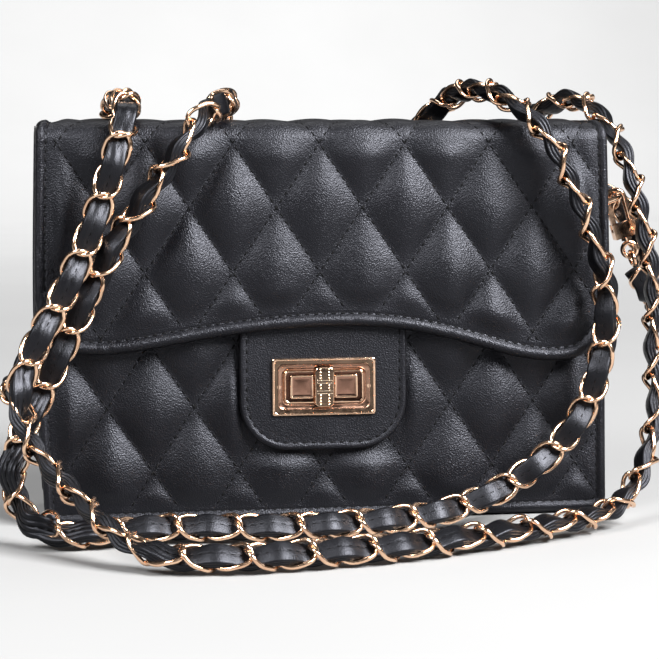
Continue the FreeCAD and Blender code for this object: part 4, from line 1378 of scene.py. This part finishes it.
def cut_away(obj, cutter):
    """The cutter's shape taken out of the object for good."""
    modifier = obj.modifiers.new("slot", "BOOLEAN")
    modifier.operation = "DIFFERENCE"
    modifier.solver = "EXACT"
    modifier.object = cutter
    graph = bpy.context.evaluated_depsgraph_get()
    mesh = bpy.data.meshes.new_from_object(obj.evaluated_get(graph))
    obj.modifiers.clear()
    obj.data = mesh
    bpy.data.objects.remove(cutter)


def paint(obj, materials, zones, metal_of):
    """Each band of a loft gets its own gold: the bright one, or a copy of it with painted shade."""
    obj.data.materials.clear()
    for material in materials:
        obj.data.materials.append(material)
    for polygon, zone in zip(obj.data.polygons, zones):
        polygon.material_index = materials.index(metal_of(zone))


def frame_corner(inset):
    """The frame's rim is nearly square at its corners, the steps inside it are rounder."""
    return 0.9 + 0.5 * inset if inset < 3.9 else 1.4


def frame_painted_shading(zone):
    """Bright gold lips; elsewhere the same gold with painted shade: deepest inside the inner lip where
    the slot is, darker in the groove inside the rim, and less dark between.
    """
    if zone in (1, 2, 3, 4, 5, 16, 17, 18, 19):
        return GOLD
    if zone in (6, 7, 8):
        return GOLD_PAINTED_SHADE
    return GOLD_PAINTED_DEEP_SHADE if zone >= 20 else GOLD_PAINTED_HALF_SHADE


def make_lock_frame():
    profile = [
        (2.0, 1.7),
        (0.0, 2.83),
        (0.0, 3.42),
        (0.12, 3.62),
        (0.38, 3.72),
        (0.68, 3.68),
        (0.86, 3.52),
        (0.92, 3.36),
        (1.9, 3.16),
        (1.98, 3.30),
        (2.2, 3.34),
        (2.34, 3.18),
        (3.28, 3.00),
        (3.36, 3.12),
        (3.56, 3.14),
        (3.7, 2.96),
        (4.15, 2.88),
        (4.22, 3.22),
        (4.38, 3.40),
        (4.62, 3.42),
        (4.8, 3.28),
        (4.86, 2.45),
        (6.0, 2.32),
    ]
    verts, faces, zones = loft((0, 0), (18.25, 10.0), frame_corner, profile, 10)
    ring = make_object("lock_frame_ring", verts, faces)
    paint(ring, (GOLD, GOLD_PAINTED_HALF_SHADE, GOLD_PAINTED_DEEP_SHADE, GOLD_PAINTED_SHADE), zones, frame_painted_shading)
    tidy_normals(ring)
    box, sides, _ = loft((0, 0), SLOT_HALF, 1.1, [(0, -1.0), (0, 6.0)])
    # The cutter's gold with painted deep shade goes onto the slot's walls.
    cutter = make_object("slot_cutter", box, sides, GOLD_PAINTED_DEEP_SHADE, False)
    tidy_normals(cutter)
    cut_away(ring, cutter)
    ring.data.set_sharp_from_angle(angle=SHARP)
    settle([ring], "flap")
    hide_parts("lock_frame")
    profile = [
        (0.1, 2.1),
        (0.0, 3.10),
        (0.10, 3.36),
        (0.30, 3.50),
        (0.58, 3.50),
        (0.80, 3.38),
        (0.98, 3.30),
        (1.6, 3.31),
        (2.6, 3.34),
    ]
    for side in (-1, 1):
        verts, faces, zones = loft((side * 7.8, 0), (4.25, 4.2), 0.8, profile, 6)
        inlay = make_object("lock_inlay_" + ("left" if side < 0 else "right"), verts, faces)
        # Bright gold rims, with painted shade on the flat faces of the inlays.
        paint(inlay, (GOLD, GOLD_PAINTED_FACE_SHADE), zones, lambda zone: GOLD if zone < 5 else GOLD_PAINTED_FACE_SHADE)
        tidy_normals(inlay)
        settle([inlay], "flap")
        if side < 0:
            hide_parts("lock_inlays")


def bead(x, up, out, radius, rows=5, sides=8):
    """Half a ball that stands on the bar's face."""
    verts, faces = [], []
    for i in range(1, rows + 1):
        a = math.pi / 2 * (1 - i / rows)
        reach, rise = radius * math.cos(a), radius * math.sin(a)
        for k in range(sides):
            b = 2 * math.pi * k / sides
            verts.append((x + reach * math.cos(b), up + reach * math.sin(b), out + rise))
    top = len(verts)
    verts.append((x, up, out + radius))
    for i in range(rows - 1):
        for k in range(sides):
            n = (k + 1) % sides
            faces.append((i * sides + k, (i + 1) * sides + k, (i + 1) * sides + n, i * sides + n))
    faces += [(top, k, (k + 1) % sides) for k in range(sides)]
    faces.append(tuple((rows - 1) * sides + k for k in range(sides)))
    flat = np.array(verts)
    return lock_point(flat[:, 0], flat[:, 1], flat[:, 2]), faces


def make_turn_bar():
    profile = [
        (0.5, 3.72),
        (0.12, 3.8),
        (0.0, 4.0),
        (0.0, 4.62),
        (0.10, 4.88),
        (0.34, 5.05),
        (0.9, 5.14),
        (1.55, 5.17),
        (1.68, 4.98),
        (2.5, 4.98),
    ]
    verts, faces, zones = loft((0, 0), (3.4, 7.0), 1.7, profile, 8)
    bar = make_object("turn_bar_body", verts, faces)
    # The bar's edges are the bright gold; its face is the same gold with painted shade.
    paint(bar, (GOLD, GOLD_PAINTED_SHADE), zones, lambda zone: GOLD if zone < 5 else GOLD_PAINTED_SHADE)
    tidy_normals(bar)
    bag = Parts()
    for level in (-6.15, -5.09, -4.03, -2.97, -0.53, 0.53, 2.97, 4.03, 5.09, 6.15):
        for x in (-1.5, 1.5):
            bag.add(*bead(x, level, 5.02, 0.46))
    cross_line = [(0, 4.8), (0, 5.26), (0.1, 5.36)]
    for level in (-2.25, -1.35, 1.35, 2.25):
        verts, faces, _ = loft((0, level), (2.75, 0.2), 0.17, cross_line, 3)
        bag.add(verts, faces)
    # The beads and cross lines are a brighter copy of the gold: a painted highlight.
    beads = bag.make("turn_bar_beads", GOLD_PAINTED_HIGHLIGHT)
    tidy_normals(beads)
    settle((bar, beads), "turn_lock")
    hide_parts("turn_bar")


make_lock_frame()
make_turn_bar()

# ---------------------------------------------------------------- softened edges of the cast parts


def soften(node, width):
    """The cast and machined parts keep their shape, with their sharp corners rounded off."""
    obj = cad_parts[node]
    modifier = obj.modifiers.new("edge", "BEVEL")
    modifier.width = width * MM
    modifier.segments = 2
    modifier.limit_method = "ANGLE"
    modifier.angle_limit = math.radians(40)
    modifier.use_clamp_overlap = True


for side in ("left", "right"):
    for part in ("ring", "hook", "gate", "swivel", "end_link"):
        soften(f"{side}_{part}", 0.22)

# ---------------------------------------------------------------- room and light


def pale_material(name):
    """Near white, with painted shade high up the backdrop, above what the camera's angle shows."""
    look = Look(name)
    tint = look.ramp(look.noise(6), [(0.3, (0.266,) * 3), (0.8, (0.276,) * 3)])
    height = look.add("ShaderNodeSeparateXYZ")
    look.link(look.coords, height.inputs["Vector"])
    # Painted shade: the colour darkens from 0.42 m to 0.75 m up the backdrop.
    fade = look.ramp(height.outputs["Z"], [(0.42, (1.0,) * 3), (0.75, (0.12,) * 3)])
    shade = look.mix("MULTIPLY", 1.0, tint)
    look.link(fade, shade.inputs["B"])
    look.link(shade.outputs["Result"], look.shader["Base Color"])
    look.shader["Roughness"].default_value = 0.75
    look.shader["Specular IOR Level"].default_value = 0.0
    return look.material


def make_room():
    """A pale sweep: the floor curves up into the backdrop well behind the purse."""
    pale = pale_material("pale_sweep")
    half_wide, near, far, radius, tall, steps = 4500, -4000, 2200, 900, 4200, 16
    profile = [(near, 0), (far, 0)]
    for k in range(1, steps + 1):
        a = math.pi / 2 * k / steps
        profile.append((far + radius * math.sin(a), radius - radius * math.cos(a)))
    profile.append((far + radius, tall))
    verts, faces = [], []
    for y, z in profile:
        verts += [(-half_wide, y, z), (half_wide, y, z)]
    for i in range(len(profile) - 1):
        faces.append((2 * i, 2 * i + 1, 2 * i + 3, 2 * i + 2))
    sweep = make_object("floor_sweep", verts, faces, pale)


def area_light(name, place, target, size, power, spread=180):
    data = bpy.data.lights.new(name, "AREA")
    data.energy = power
    data.size = size
    data.spread = math.radians(spread)
    light = bpy.data.objects.new(name, data)
    light.location = place
    aim = Vector(target) - Vector(place)
    light.rotation_euler = aim.to_track_quat("-Z", "Y").to_euler()
    bpy.context.scene.collection.objects.link(light)


def make_light():
    world = bpy.data.worlds.new("Studio")
    world.use_nodes = True
    background = world.node_tree.nodes["Background"]
    background.inputs["Color"].default_value = (1.0, 1.0, 1.0, 1)
    background.inputs["Strength"].default_value = 0.06
    bpy.context.scene.world = world
    area_light("key", (0.80, -0.85, 1.00), (0, 0.04, 0.03), 0.7, 86)
    area_light("fill", (-0.85, -0.75, 0.95), (0, 0.04, 0.03), 0.6, 23)
    area_light("sweep_light", (0.4, 1.9, 2.3), (0.15, 2.7, 0.2), 2.2, 108, 122)
    bpy.context.scene.view_settings.view_transform = "Standard"


make_room()
make_light()
